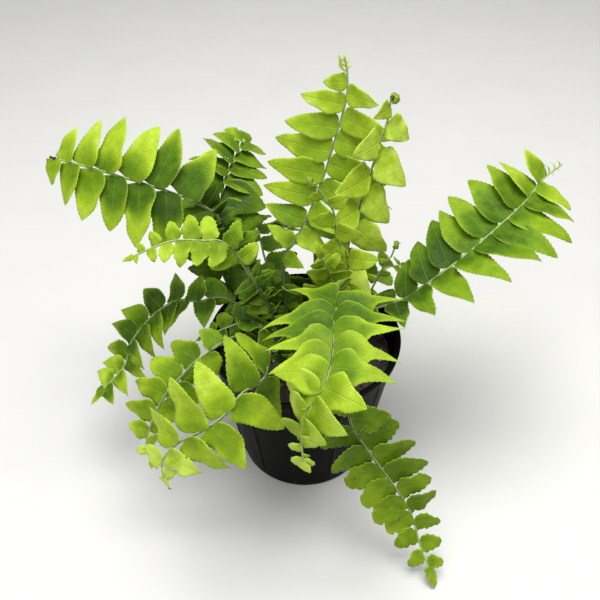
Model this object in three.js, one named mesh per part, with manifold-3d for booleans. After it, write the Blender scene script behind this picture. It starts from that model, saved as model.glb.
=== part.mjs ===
import * as THREE from 'three';
import Module from 'manifold-3d';
import { mergeVertices } from 'three/addons/utils/BufferGeometryUtils.js';

// A sword fern in a round nursery pot. Millimetres, +Z up, origin at the centre of the pot's base.
// The front of the plant, where its longest arching frond hangs over the rim, is towards -Y.

// Driving dimensions of the pot
const POT_HEIGHT = 88;
const POT_RIM_RADIUS = 52.5;
const POT_BASE_RADIUS = 37;
const POT_WALL = 1.5;
const POT_FLOOR = 2;
const RIM_BAND_HEIGHT = 6;
const RIM_BAND_PROUD = 1.5;
const RIB_COUNT = 12;
const RIB_PROUD = 0.7;
const RIB_WIDTH = 1.8;
const RIB_FOOT = 3;
const RIB_TURN = THREE.MathUtils.degToRad(-98);
const RIB_TURN_HALF = RIB_WIDTH / 2 / POT_BASE_RADIUS;

// Driving dimensions of the potting mix
const MIX_EDGE_Z = 76;
const MIX_RISE = 2.6;
const MIX_LUMP = 0.8;
const CLEARANCE = 0.3;

// Driving dimensions that all fronds share
const ROOT_Z = 70;
const BLADE_THICK = 0.7;
const BLADE_END_HALF = 0.35;
const LONG_LEAFLET = 27;
const TINY_LEAFLET = 9;
const RIB_STEP = 14;
const CURL_STEPS = 12;
const CURL_TURNS = 1.3;
const HOLE_CLEARANCE = 0.35;
const LEAF_RISE = 0.28;
const DROOP = 0.12;
const LOUVRE = THREE.MathUtils.degToRad(7);
const SLIVER = 0.1;

// A leaflet is wider near its foot on the side of the frond's tip, and narrower on the other: how
// much, and over what share of its length
const EAR_WIDER = 0.22;
const EAR_WIDER_REACH = 0.14;
const EAR_NARROWER = 0.15;
const EAR_NARROWER_REACH = 0.16;

// The leaflet that ends a frond, and the unopened buds at the end of some: lengths in millimetres,
// or as shares of the last pair's, and degrees
const TIP_LENGTH_SHARE = 0.85;
const TIP_LONGER = 3;
const TIP_WIDTH_SHARE = 0.45;
const BUD_ANGLE = 50;
const BUD_LENGTH = 5.5;
const BUD_SHORTER = 0.4;
const BUD_WIDTH = 1.8;
const BUD_POINT = 0.6;
const BUD_LIFT = 20;

// How much leaflets of a frond differ: degrees of angle and lift, shares of length and width; how
// the pairs crowd towards the stalk; and the most width that a leaflet has for its length
const ANGLE_SPREAD = 5;
const LIFT_SPREAD = 4;
const LENGTH_SPREAD = 0.06;
const WIDTH_SPREAD = 0.05;
const CROWDING = 0.92;
const MOST_WIDTH_SHARE = 0.8;

// How a leaflet that would cross another frond is bent clear: degrees, length shares, and the
// distance kept between the points by which it is judged
const BENDS = [0, 12, -12, 24, -24, 36, -36];
const SHORTENINGS = [1, 0.8, 0.6];
const KEEP_AWAY = 3;
const JUDGE_STEP = 2.5;
const POT_KEEP_AWAY = 2.5;
const GROUND_KEEP_AWAY = 1.5;
const MIX_KEEP_AWAY = 6;

// Colours of the three ages of leaf, and of the pot and the mix
const COLOURS = {
  leaf_lime: 0xa6cf2c,
  leaf_green: 0x7fb52a,
  leaf_deep: 0x4f8b1f,
  pot_plastic: 0x141414,
  potting_mix: 0x2b1e16,
};

// Each frond: the points its midrib passes through, the way its upper face looks at the first pair
// (and at the last, as faceEnd, where it turns on the way), the share of the midrib that is bare
// stalk, where the last pair stands, the number of pairs, the longest leaflet's length and width,
// the length share of the first and last pairs and where the longest stands, the angle between
// leaflet and midrib from first to last pair (splay is what the first pair has more), how pointed
// they are from first to last pair, and how they are lifted and swept. rise is how slowly they
// widen from their foot. Fronds that come first keep their leaflets as they are, and later ones
// bend clear of them.
const FRONDS = [
  {
    name: 'frond_front_arching', slot: 'leaf_lime', seed: 7, rib: [1, 0.7],
    path: [[6, 0, ROOT_Z], [9, -5, 112], [15, -28, 140], [12, -53, 147], [11, -73, 149], [8, -88, 147],
      [2, -95, 140], [-2, -98, 127], [-1, -101, 110]],
    face: [-0.18, -0.2, 1], bare: 0.49, end: 0.975, pairs: 10, leaf: 32, wide: 17, first: 0.95,
    peak: 0.1, last: 0.1, angle: [96, 88], splay: 32, point: [1.4, 0.55], lift: 6, sweep: 0.1,
  },
  {
    name: 'frond_right_tall', slot: 'leaf_green', seed: 5, rib: [1, 0.7], curl: 3,
    path: [[8, 13, ROOT_Z], [25, 24, 140], [29, 30, 155], [34, 36, 170], [38, 41, 184], [41, 44, 193],
      [42, 46, 204]],
    face: [0.25, -0.94, 0.23], faceEnd: [0.5, -0.85, 0.1], bare: 0.38, end: 0.97, pairs: 5, leaf: 24,
    wide: 17, first: 0.98, peak: 0.65, last: 0.47, angle: [134, 118], point: [0.62, 0.62], lift: 20,
    sweep: 0.1,
  },
  {
    name: 'frond_centre_tall', slot: 'leaf_green', seed: 4, rib: [1, 0.7], buds: 6,
    path: [[-8, 10, ROOT_Z], [-12, 24, 116], [-5, 30, 129], [3, 38, 143], [11, 46, 163], [17, 54, 182],
      [21, 58, 198], [21, 60, 210], [19, 61, 219]],
    face: [-0.5, -0.85, 0], bare: 0.33, end: 0.92, pairs: 8, leaf: 32, wide: 14.5, first: 0.4,
    peak: 0.65, last: 0.45, angle: [100, 96], point: [0.8, 0.8], lift: 20, sweep: 0.03,
  },
  {
    name: 'frond_right_long', slot: 'leaf_green', seed: 6, rib: [1, 0.7], buds: 5,
    path: [[14, 4, ROOT_Z], [30, 6, 96], [51, 5, 108], [62, 5, 118], [82, 12, 132], [103, 28, 141],
      [118, 42, 146], [131, 59, 149], [146, 74, 150]],
    face: [-0.9, 0.15, 0.35], faceEnd: [-0.25, -0.85, 0.4], bare: 0.19, end: 0.88, pairs: 10,
    leaf: 32.5, wide: 16.5, first: 0.5, peak: 0.65, last: 0.6, angle: [80, 85], point: [0.75, 0.75],
    lift: 17, sweep: 0.1,
  },
  {
    name: 'frond_left_long', slot: 'leaf_green', seed: 1, rib: [1, 0.7],
    path: [[-14, 12, ROOT_Z], [-26, 20, 108], [-43, 24, 145], [-57, 22, 160], [-81, 24, 169],
      [-108, 32, 173], [-130, 42, 173]],
    face: [-0.05, -0.8, 0.6], bare: 0.6, end: 0.985, pairs: 6, leaf: 30.7, wide: 15, rise: 0.22,
    first: 0.95, peak: 0.3, last: 0.45, angle: [116, 92], point: [0.7, 0.7], lift: 5, sweep: 0.14,
  },
  {
    name: 'frond_front_left', slot: 'leaf_lime', seed: 8, rib: [1, 0.7], tip: true,
    path: [[-6, -12, ROOT_Z], [-16, -28, 106], [-19, -55, 113], [-29, -64, 112], [-37, -72, 106],
      [-47, -76, 100], [-60, -76, 90], [-68, -77, 78], [-68, -80, 68]],
    face: [0.05, -0.98, 0.17], faceEnd: [-0.5, -0.75, 0.45], bare: 0.42, end: 0.98, pairs: 6, leaf: 28,
    wide: 14.5, first: 0.9, peak: 0.5, last: 0.26, angle: [100, 104], point: [0.65, 0.65], lift: 2,
    sweep: 0.1,
  },
  {
    name: 'frond_front_right_trailing', slot: 'leaf_deep', seed: 11, rib: [1, 0.7], tip: true,
    path: [[14, -14, ROOT_Z], [20, -40, 98], [21, -56, 101], [22, -64, 90], [31, -68, 74],
      [46, -73, 50], [55, -77, 33], [60, -85, 18], [65, -94, 8]],
    face: [-0.3, -0.75, 0.6], faceEnd: [0, -0.65, 0.75], bare: 0.35, end: 0.975, pairs: 9, leaf: 21.5,
    wide: 23, first: 0.78, peak: 0.3, last: 0.42, angle: [96, 70], point: [0.4, 0.4], lift: 5,
    sweep: 0.1,
  },
  {
    name: 'frond_young_left', slot: 'leaf_lime', seed: 3, rib: [1, 0.7], tip: true,
    path: [[-9, 4, ROOT_Z], [-22, 0, 116], [-38, 0, 148], [-50, -1, 152], [-64, -1, 152],
      [-75, -3, 149], [-85, -5, 145]],
    face: [0, -0.6, 0.8], bare: 0.55, end: 0.98, pairs: 7, leaf: 13.5, wide: 10.5, first: 0.9,
    peak: 0.3, last: 0.3, angle: [95, 75], point: [0.5, 0.5], lift: 8, sweep: 0.1,
  },
  {
    name: 'frond_left_front', slot: 'leaf_lime', seed: 9, rib: [0.9, 0.7], tip: true,
    path: [[-13, -5, ROOT_Z], [-32, -14, 100], [-51, -29, 101], [-61, -35, 94], [-71, -41, 84],
      [-78, -47, 72], [-82, -52, 60], [-80, -57, 50]],
    face: [0.3, -0.7, 0.67], bare: 0.4, end: 0.98, pairs: 7, leaf: 19, wide: 13.5, first: 0.7,
    peak: 0.4, last: 0.14, angle: [81, 81], point: [0.6, 0.6], lift: -15, sweep: 0.1,
  },
  {
    name: 'frond_left_low', slot: 'leaf_deep', seed: 10, rib: [0.9, 0.7], tip: true,
    path: [[-17, 7, ROOT_Z], [-40, 14, 100], [-58, 11, 102], [-71, 16, 98], [-85, 12, 90],
      [-97, 5, 77], [-102, -1, 64], [-114, -10, 54]],
    face: [-0.2, -0.3, 1], bare: 0.33, end: 0.98, pairs: 9, leaf: 21, wide: 12.5, first: 0.85,
    peak: 0.4, last: 0.55, angle: [86, 72], point: [1, 1], lift: 8, sweep: 0.1,
  },
  {
    name: 'frond_back_left', slot: 'leaf_deep', seed: 2, rib: [1, 0.7], tip: true,
    path: [[-18, 20, ROOT_Z], [-44, 34, 96], [-46, 38, 111], [-46, 42, 131], [-45, 54, 146],
      [-42, 72, 149], [-38, 90, 150], [-36, 104, 150]],
    face: [0.1, -0.65, 0.75], faceEnd: [0.2, -0.8, 0.55], bare: 0.2, end: 0.98, pairs: 10, leaf: 23.5,
    wide: 16, first: 0.6, peak: 0.6, last: 0.55, angle: [102, 102], point: [0.75, 0.75], lift: 16,
    sweep: 0.1,
  },
  {
    name: 'frond_young_centre', slot: 'leaf_lime', seed: 12, rib: [0.8, 0.6], curl: 2.6,
    path: [[4, 6, ROOT_Z], [22, 6, 128], [16, 8, 147], [14, 8, 162], [10, 7, 170], [5, 5, 180],
      [2, 3, 185]],
    face: [-0.2, -0.9, 0.3], bare: 0.4, end: 0.9, pairs: 4, leaf: 15, wide: 12, first: 0.95, peak: 0.3,
    last: 0.5, angle: [110, 100], point: [0.6, 0.6], lift: 8, sweep: 0.1,
  },
  {
    name: 'frond_young_front_left', slot: 'leaf_green', seed: 13, rib: [0.9, 0.7], tip: true,
    path: [[-12, 0, ROOT_Z], [-20, -6, 96], [-31, -4, 101], [-42, -7, 99], [-53, -7, 93]],
    face: [0, -0.2, 1], bare: 0.35, end: 0.97, pairs: 5, leaf: 15, wide: 12, first: 0.95, peak: 0.3,
    last: 0.4, angle: [95, 75], point: [0.5, 0.5], lift: 8, sweep: 0.1,
  },
  {
    name: 'frond_young_crown', slot: 'leaf_lime', seed: 15, rib: [0.9, 0.7], tip: true,
    path: [[0, 3, ROOT_Z], [12, 2, 120], [12, -2, 133], [8, -5, 145]],
    face: [0, -0.7, 0.6], bare: 0.5, end: 0.95, pairs: 4, leaf: 12, wide: 10.5, first: 0.95, peak: 0.3,
    last: 0.6, angle: [95, 75], point: [0.5, 0.5], lift: 8, sweep: 0.1,
  },
  {
    name: 'frond_young_back_left', slot: 'leaf_deep', seed: 19, rib: [0.9, 0.7], tip: true,
    path: [[-4, 14, ROOT_Z], [-12, 22, 90], [-20, 28, 98], [-28, 34, 102], [-36, 44, 100]],
    face: [0, -0.4, 1], bare: 0.35, end: 0.96, pairs: 4, leaf: 14, wide: 12, first: 0.95, peak: 0.3,
    last: 0.5, angle: [95, 75], point: [0.55, 0.55], lift: 8, sweep: 0.1,
  },
  {
    name: 'frond_young_back_right', slot: 'leaf_green', seed: 20, rib: [0.9, 0.7], tip: true,
    path: [[18, 16, ROOT_Z], [26, 20, 96], [36, 23, 108], [46, 28, 112], [55, 35, 108]],
    face: [0, -0.4, 1], bare: 0.4, end: 0.96, pairs: 4, leaf: 14, wide: 12.5, first: 0.95, peak: 0.3,
    last: 0.5, angle: [95, 75], point: [0.55, 0.55], lift: 8, sweep: 0.1,
  },
  {
    name: 'frond_young_right', slot: 'leaf_lime', seed: 16, rib: [0.8, 0.6], curl: 2.4,
    path: [[22, 10, ROOT_Z], [42, 18, 120], [46, 20, 126], [48, 20, 135]],
    face: [0, -0.7, 0.6], bare: 0.35, end: 0.8, pairs: 3, leaf: 7, wide: 5, first: 0.95, peak: 0.3,
    last: 0.6, angle: [95, 75], point: [0.6, 0.6], lift: 8, sweep: 0.1,
  },
  {
    name: 'frond_back_low_left', slot: 'leaf_deep', seed: 14, rib: [0.9, 0.7], tip: true,
    path: [[-6, 20, ROOT_Z], [-21, 44, 99], [-25, 56, 106], [-28, 72, 107], [-32, 88, 105]],
    face: [0, -0.3, 1], bare: 0.3, end: 0.97, pairs: 5, leaf: 19, wide: 13, first: 0.9, peak: 0.3,
    last: 0.4, angle: [95, 75], point: [0.7, 0.7], lift: 15, sweep: 0.1,
  },
  {
    name: 'frond_back_right', slot: 'leaf_deep', seed: 17, rib: [1, 0.7], tip: true,
    path: [[12, 22, ROOT_Z], [20, 40, 108], [26, 58, 120], [32, 80, 120], [37, 98, 108],
      [40, 112, 92]],
    face: [0, -0.1, 1], bare: 0.34, end: 0.98, pairs: 4, leaf: 21, wide: 14, first: 0.85, peak: 0.4,
    last: 0.35, angle: [95, 78], point: [0.65, 0.65], lift: 8, sweep: 0.1,
  },
  {
    name: 'frond_back_middle', slot: 'leaf_green', seed: 18, rib: [0.9, 0.7], tip: true,
    path: [[2, 24, ROOT_Z], [6, 44, 104], [2, 64, 112], [-4, 84, 104], [-10, 100, 88], [-12, 110, 72]],
    face: [0, 0.1, 1], bare: 0.34, end: 0.98, pairs: 5, leaf: 19, wide: 13.5, first: 0.85, peak: 0.4,
    last: 0.35, angle: [95, 78], point: [0.65, 0.65], lift: 8, sweep: 0.1,
  },
];

const wasm = await Module();
wasm.setup();

// Helpers between three.js geometry and manifold solids

function geometryOf(positions, index) {
  const geometry = new THREE.BufferGeometry();
  geometry.setAttribute('position', new THREE.Float32BufferAttribute(positions, 3));
  geometry.setIndex(index);
  return geometry;
}

function solidOf(geometry) {
  const merged = mergeVertices(geometry, 1e-4);
  const vertProperties = new Float32Array(merged.attributes.position.array);
  const triVerts = new Uint32Array(merged.index.array);
  return new wasm.Manifold(new wasm.Mesh({ numProp: 3, vertProperties, triVerts }));
}

// A solid without slivers, and with the pockets filled that its crossing leaflets close off
function filled(solid) {
  const shells = solid.simplify(SLIVER).decompose();
  return wasm.Manifold.union(shells.filter((shell) => shell.volume() > 0));
}

function meshOf(name, slot, solid) {
  const { numProp, vertProperties, triVerts } = solid.getMesh();
  const positions = [];
  for (let i = 0; i < vertProperties.length; i += numProp) {
    positions.push(vertProperties[i], vertProperties[i + 1], vertProperties[i + 2]);
  }
  const geometry = geometryOf(positions, Array.from(triVerts)).toNonIndexed();
  geometry.computeVertexNormals();
  const roughness = slot === 'pot_plastic' ? 0.4 : 0.75;
  const material = new THREE.MeshStandardMaterial({ color: COLOURS[slot], roughness, metalness: 0 });
  const mesh = new THREE.Mesh(geometry, material);
  mesh.name = name;
  return mesh;
}

// A unit vector turned by an angle towards another that is square to it
function turnedFrom(start, towards, angle) {
  return start.clone().multiplyScalar(Math.cos(angle)).addScaledVector(towards, Math.sin(angle));
}

// A closed solid skinned over rings of points with the same count, capped by flat end faces.
// Rings that run the other way round would turn it inside out, so they are reversed.
function skin(rings) {
  const count = rings[0].length;
  const positions = rings.flat().flatMap((p) => [p.x, p.y, p.z]);
  const index = [];
  for (let r = 0; r < rings.length - 1; r += 1) {
    for (let i = 0; i < count; i += 1) {
      const a = r * count + i;
      const b = r * count + ((i + 1) % count);
      index.push(a, b, b + count, a, b + count, a + count);
    }
  }
  const last = (rings.length - 1) * count;
  for (let i = 1; i < count - 1; i += 1) {
    index.push(0, i + 1, i);
    index.push(last, last + i, last + i + 1);
  }
  const solid = solidOf(geometryOf(positions, index));
  return solid.volume() < 0 ? skin(rings.map((ring) => [...ring].reverse())) : solid;
}

// A closed solid of revolution whose radius may change with the turn: rows of [radius, z] given
// by a function of the angle, from the centre of its underside to the centre of its top
function turned(angles, rowsAt) {
  const columns = angles.map((angle) => rowsAt(angle));
  const rows = columns[0].length;
  const positions = [0, 0, columns[0][0][1]];
  columns.forEach((column, c) => {
    for (let r = 1; r < rows - 1; r += 1) {
      const [radius, z] = column[r];
      positions.push(radius * Math.cos(angles[c]), radius * Math.sin(angles[c]), z);
    }
  });
  positions.push(0, 0, columns[0][rows - 1][1]);
  const inner = rows - 2;
  const top = angles.length * inner + 1;
  const index = [];
  for (let c = 0; c < angles.length; c += 1) {
    const here = 1 + c * inner;
    const next = 1 + ((c + 1) % angles.length) * inner;
    index.push(0, next, here);
    for (let r = 0; r < inner - 1; r += 1) {
      index.push(here + r, next + r, next + r + 1, here + r, next + r + 1, here + r + 1);
    }
    index.push(top, here + inner - 1, next + inner - 1);
  }
  return solidOf(geometryOf(positions, index));
}

// The pot

function wallRadius(z) {
  const slope = (POT_RIM_RADIUS - RIM_BAND_PROUD - POT_BASE_RADIUS) / POT_HEIGHT;
  return POT_BASE_RADIUS + slope * z;
}

// Angles round the pot at which its columns stand: some around each rib, and one midway to the next
function columnAngles(turns) {
  const angles = [];
  for (let i = 0; i < RIB_COUNT; i += 1) {
    const middle = RIB_TURN + (i * 2 * Math.PI) / RIB_COUNT;
    turns.forEach((turn) => angles.push(middle + turn));
    angles.push(middle + Math.PI / RIB_COUNT);
  }
  return angles;
}

function pot() {
  const angles = columnAngles([-RIB_TURN_HALF, 0, RIB_TURN_HALF]);
  const inner = (z) => wallRadius(z) - POT_WALL;
  const bandFoot = POT_HEIGHT - RIM_BAND_HEIGHT;
  return turned(angles, (angle) => {
    const rib = angles.indexOf(angle) % 4 === 1 ? RIB_PROUD : 0;
    return [
      [0, 0],
      [POT_BASE_RADIUS - 1, 0],
      [wallRadius(1), 1],
      [wallRadius(RIB_FOOT), RIB_FOOT],
      [wallRadius(RIB_FOOT + 1) + rib, RIB_FOOT + 1],
      [wallRadius(bandFoot) + rib, bandFoot],
      [wallRadius(bandFoot) + RIM_BAND_PROUD, bandFoot + 0.6],
      [POT_RIM_RADIUS, POT_HEIGHT - 0.8],
      [POT_RIM_RADIUS - 0.8, POT_HEIGHT],
      [inner(POT_HEIGHT), POT_HEIGHT],
      [inner(POT_FLOOR), POT_FLOOR],
      [0, POT_FLOOR],
    ];
  });
}

// The potting mix, with a lumpy top

function mixHeight(radius, angle) {
  const x = radius * Math.cos(angle);
  const y = radius * Math.sin(angle);
  const broad = Math.sin(0.31 * x + 1.3) * Math.cos(0.27 * y - 0.4);
  const fine = 0.6 * Math.sin(0.5 * x + 0.013 * x * y);
  const full = wallRadius(MIX_EDGE_Z);
  return MIX_EDGE_Z + MIX_RISE * (1 - (radius / full) ** 2) + MIX_LUMP * (broad + fine);
}

function mix() {
  const angles = columnAngles([0]);
  const floor = POT_FLOOR + CLEARANCE;
  const edge = (z) => wallRadius(z) - POT_WALL - CLEARANCE;
  const topEdge = edge(MIX_EDGE_Z);
  const shares = [0.97, 0.64, 0.32];
  return turned(angles, (angle) => {
    const rows = [[0, floor], [edge(floor) - CLEARANCE, floor], [topEdge - CLEARANCE, MIX_EDGE_Z - 2]];
    shares.forEach((share) => rows.push([share * topEdge, mixHeight(share * topEdge, angle)]));
    rows.push([0, mixHeight(0, 0)]);
    return rows;
  });
}

// The midrib of a frond

function midrib(frond) {
  const points = frond.path.map((p) => new THREE.Vector3(...p));
  return new THREE.CatmullRomCurve3(points, false, 'catmullrom', 0.5);
}

// The way a frond's upper face looks: from its first pair's way evenly to its last pair's
function faceAt(frond, share) {
  const grown = THREE.MathUtils.clamp((share - frond.bare) / (frond.end - frond.bare), 0, 1);
  const start = new THREE.Vector3(...frond.face).normalize();
  const end = new THREE.Vector3(...(frond.faceEnd ?? frond.face)).normalize();
  return start.lerp(end, grown).normalize();
}

// Unit vectors at a share of the midrib: along it, out of its upper face, and to its right
function frameAt(curve, frond, share) {
  const place = curve.getPointAt(share);
  const along = curve.getTangentAt(share);
  const up = faceAt(frond, share);
  up.addScaledVector(along, -up.dot(along)).normalize();
  const right = new THREE.Vector3().crossVectors(along, up);
  return { place, along, up, right };
}

// Frames at even steps along the midrib. The stalk's follow on from the blade's without a twist.
function midribFrames(curve, frond) {
  const steps = Math.ceil(curve.getLength() / RIB_STEP);
  const frames = [];
  for (let i = steps; i >= 0; i -= 1) {
    const frame = frameAt(curve, frond, i / steps);
    if (i / steps < frond.bare) {
      frame.up.copy(frames[0].up).addScaledVector(frame.along, -frames[0].up.dot(frame.along)).normalize();
      frame.right.crossVectors(frame.along, frame.up);
    }
    frames.unshift(frame);
  }
  return frames;
}

// The corners of a midrib's section: a square whose sides face right, left, up and down
function section(place, right, up, half) {
  return [[-1, -1], [1, -1], [1, 1], [-1, 1]].map(([a, b]) =>
    place.clone().addScaledVector(right, a * half).addScaledVector(up, b * half),
  );
}

function midribSolid(frames, frond) {
  const rings = frames.map(({ place, right, up }, i) => {
    const half = THREE.MathUtils.lerp(frond.rib[0], frond.rib[1], i / (frames.length - 1));
    return section(place, right, up, half);
  });
  return skin(rings);
}

// The hole that a stalk stands in: its section, wider all round, from below its foot to the air
function stalkHole(frames, frond) {
  const rings = frames.slice(0, 3).map(({ place, along, right, up }, i) => {
    const start = place.clone().addScaledVector(along, i === 0 ? -HOLE_CLEARANCE : 0);
    return section(start, right, up, frond.rib[0] + HOLE_CLEARANCE);
  });
  return skin(rings);
}

// The rolled tip of an unopened frond: a spiral in the plane of the midrib and its upper face
function curledTip(frame, frond) {
  const { place, along, up, right } = frame;
  const centre = place.clone().addScaledVector(up, frond.curl);
  const half = frond.rib[1];
  const rings = [];
  for (let i = 0; i <= CURL_STEPS; i += 1) {
    const turn = ((i / CURL_STEPS) * CURL_TURNS - 0.05) * 2 * Math.PI;
    const reach = frond.curl * (1 - (0.68 * i) / CURL_STEPS);
    const outward = turnedFrom(up, along, Math.PI - turn);
    rings.push(section(centre.clone().addScaledVector(outward, reach), right, outward, half));
  }
  return skin(rings);
}

// Leaflets

// Seeded draws between -1 and 1
function drawer(seed) {
  let state = seed;
  return () => {
    state = (state * 1664525 + 1013904223) % 4294967296;
    return (2 * state) / 4294967296 - 1;
  };
}

// A leaflet's length as a share of the longest: rising from the first pair to the peak, then
// falling to the last pair
function lengthShare(frond, along) {
  const { first, peak, last } = frond;
  if (along < peak) {
    return first + (1 - first) * Math.sin((Math.PI / 2) * (along / peak));
  }
  return last + (1 - last) * Math.cos((Math.PI / 2) * ((along - peak) / (1 - peak)));
}

// A leaflet: where it starts, its directions along, across and out, its length, width and point
function leaflet(curve, frond, share, side, angle, length, width, point, lift) {
  const { place, along, up, right } = frameAt(curve, frond, share);
  const turn = THREE.MathUtils.degToRad(angle);
  const flat = along.clone().multiplyScalar(Math.cos(turn)).addScaledVector(right, side * Math.sin(turn));
  const across = along.clone().addScaledVector(flat, -along.dot(flat));
  if (across.length() < 0.01) {
    across.copy(right);
  }
  across.normalize();
  return { share, place, flat, across, up, length, width, point, lift, frond };
}

function leafletsOf(curve, frond) {
  const draw = drawer(frond.seed);
  const found = [];
  for (let pair = 0; pair < frond.pairs; pair += 1) {
    [1, -1].forEach((side) => {
      const along = ((pair + (side < 0 ? 0.5 : 0)) / (frond.pairs - 0.5)) ** CROWDING;
      const share = frond.bare + (frond.end - frond.bare) * along;
      const size = lengthShare(frond, along);
      const splay = pair === 0 ? (frond.splay ?? 0) : 0;
      const even = THREE.MathUtils.lerp(frond.angle[0], frond.angle[1], along);
      const angle = even + splay + ANGLE_SPREAD * draw();
      const length = frond.leaf * size * (1 + LENGTH_SPREAD * draw());
      const full = frond.wide * (0.35 + 0.65 * size) * (1 + WIDTH_SPREAD * draw());
      const width = Math.min(full, MOST_WIDTH_SHARE * length);
      const point = THREE.MathUtils.lerp(frond.point[0], frond.point[1], along);
      const lift = frond.lift + LIFT_SPREAD * draw();
      found.push(leaflet(curve, frond, share, side, angle, length, width, point, lift));
    });
  }
  if (frond.tip) {
    const length = TIP_LENGTH_SHARE * frond.leaf * frond.last + TIP_LONGER;
    const width = TIP_WIDTH_SHARE * length;
    found.push(leaflet(curve, frond, 0.99, 1, 0, length, width, frond.point[1], 0));
  }
  for (let bud = 0; bud < (frond.buds ?? 0); bud += 1) {
    const share = frond.end + (1 - frond.end) * (0.35 + (0.6 * bud) / frond.buds);
    const side = bud % 2 ? 1 : -1;
    const length = BUD_LENGTH - BUD_SHORTER * bud;
    found.push(leaflet(curve, frond, share, side, BUD_ANGLE, length, BUD_WIDTH, BUD_POINT, BUD_LIFT));
  }
  return found;
}

// Half the width of a leaflet at a share of its length: quickly to full, then down to its point
function halfWidth(leaf, s) {
  const power = leaf.frond.rise ?? LEAF_RISE;
  const peak = power / (power + leaf.point);
  const rise = (Math.max(s, 1e-6) / peak) ** power;
  const fall = (Math.max(1 - s, 0) / (1 - peak)) ** leaf.point;
  return 0.5 * leaf.width * rise * fall;
}

// A point of a leaflet's middle surface, for its bend and its shortening: s runs along it and
// t across it, from -1 at the edge towards the stalk to 1 at the edge towards the frond's tip
function bladePoint(leaf, s, t, bend = 0, short = 1) {
  const lift = THREE.MathUtils.degToRad(leaf.lift + bend);
  const length = leaf.length * short;
  const out = turnedFrom(leaf.flat, leaf.up, lift);
  const upright = turnedFrom(leaf.up, leaf.flat, -lift);
  const across = turnedFrom(leaf.across, upright, -LOUVRE);
  const normal = turnedFrom(upright, leaf.across, LOUVRE);
  const wider = EAR_WIDER * Math.exp(-((s / EAR_WIDER_REACH) ** 2));
  const narrower = EAR_NARROWER * Math.exp(-((s / EAR_NARROWER_REACH) ** 2));
  const ear = t > 0 ? 1 + wider : 1 - narrower;
  const half = Math.max(halfWidth(leaf, s) * short * ear, BLADE_END_HALF);
  const point = leaf.place.clone().addScaledVector(out, length * s);
  point.addScaledVector(across, length * leaf.frond.sweep * s * s + t * half);
  point.addScaledVector(normal, -length * DROOP * s * s);
  return { point, normal };
}

// Shares of its length at which a leaflet has a section
function stationsOf(leaf) {
  if (leaf.length < TINY_LEAFLET) {
    return [0, 0.35, 1];
  }
  return leaf.length < LONG_LEAFLET ? [0, 0.12, 0.5, 1] : [0, 0.1, 0.3, 0.65, 1];
}

// The solid of a leaflet: an even sheet over its stations, its foot sunk to the middle of the
// midrib's solid, which runs straight between its frames
function bladeSolid(leaf, frames) {
  const step = leaf.share * (frames.length - 1);
  const before = Math.min(Math.floor(step), frames.length - 2);
  const foot = frames[before].place.clone().lerp(frames[before + 1].place, step - before);
  const sink = foot.sub(leaf.place);
  const rings = stationsOf(leaf).map((s) => {
    const corners = [];
    [[-1, -1], [1, -1], [1, 1], [-1, 1]].forEach(([t, face]) => {
      const { point, normal } = bladePoint(leaf, s, t, leaf.bend, leaf.short);
      if (s === 0) {
        point.add(sink);
      }
      corners.push(point.addScaledVector(normal, (face * BLADE_THICK) / 2));
    });
    return corners;
  });
  return skin(rings);
}

// Points spread over a leaflet, with which its distance to other fronds is judged
function spread(leaf, bend, short) {
  const points = [];
  for (let i = 1; i <= 9; i += 1) {
    [-0.9, -0.3, 0.3, 0.9].forEach((t) => {
      points.push(bladePoint(leaf, i / 9, t, bend, short).point);
    });
  }
  return points;
}

// Whether a point lies in or close to the pot's wall, the mix, or the surface that the pot stands on
function inPot(p) {
  const radius = Math.hypot(p.x, p.y);
  const low = p.z < GROUND_KEEP_AWAY;
  const asHigh = p.z < POT_HEIGHT + 2;
  const atWall = asHigh && Math.abs(radius - wallRadius(p.z)) < POT_WALL + POT_KEEP_AWAY;
  const inMix = radius < wallRadius(p.z) && p.z < MIX_EDGE_Z + MIX_KEEP_AWAY;
  return low || atWall || inMix;
}

// Bends each leaflet clear of the midribs and earlier leaflets of the other fronds, shortens it
// where bending isn't enough, and leaves it out where that isn't either
function settle(plants) {
  const obstacles = [];
  plants.forEach(({ curve, frond }) => {
    const steps = Math.ceil(curve.getLength() / JUDGE_STEP);
    for (let i = 0; i <= steps; i += 1) {
      obstacles.push({ point: curve.getPointAt(i / steps), frond });
    }
  });
  plants.forEach(({ frond, leaves }) => {
    const others = obstacles.filter((o) => o.frond !== frond);
    const kept = leaves.filter((leaf) => {
      const reach = leaf.length + leaf.width + KEEP_AWAY;
      const near = others.filter((o) => o.point.distanceTo(leaf.place) < reach);
      for (const short of SHORTENINGS) {
        for (const bend of BENDS) {
          const points = spread(leaf, bend, short);
          const blocked = points.some(
            (p) => inPot(p) || near.some((o) => o.point.distanceToSquared(p) < KEEP_AWAY ** 2),
          );
          if (!blocked) {
            Object.assign(leaf, { bend, short });
            points.forEach((point) => obstacles.push({ point, frond }));
            return true;
          }
        }
      }
      return false;
    });
    leaves.splice(0, leaves.length, ...kept);
  });
}

// The whole plant

const plants = FRONDS.map((frond) => {
  const curve = midrib(frond);
  return { frond, curve, frames: midribFrames(curve, frond), leaves: leafletsOf(curve, frond) };
});
settle(plants);

const fern = new THREE.Group();
fern.add(meshOf('pot', 'pot_plastic', pot()));

let bed = mix();
plants.forEach(({ frames, frond }) => {
  bed = bed.subtract(stalkHole(frames, frond));
});
fern.add(meshOf('potting_mix', 'potting_mix', bed));

plants.forEach(({ frames, frond, leaves }) => {
  const pieces = [midribSolid(frames, frond), ...leaves.map((leaf) => bladeSolid(leaf, frames))];
  if (frond.curl) {
    pieces.push(curledTip(frames[frames.length - 1], frond));
  }
  fern.add(meshOf(frond.name, frond.slot, filled(wasm.Manifold.union(pieces))));
});

export default fern;
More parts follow.
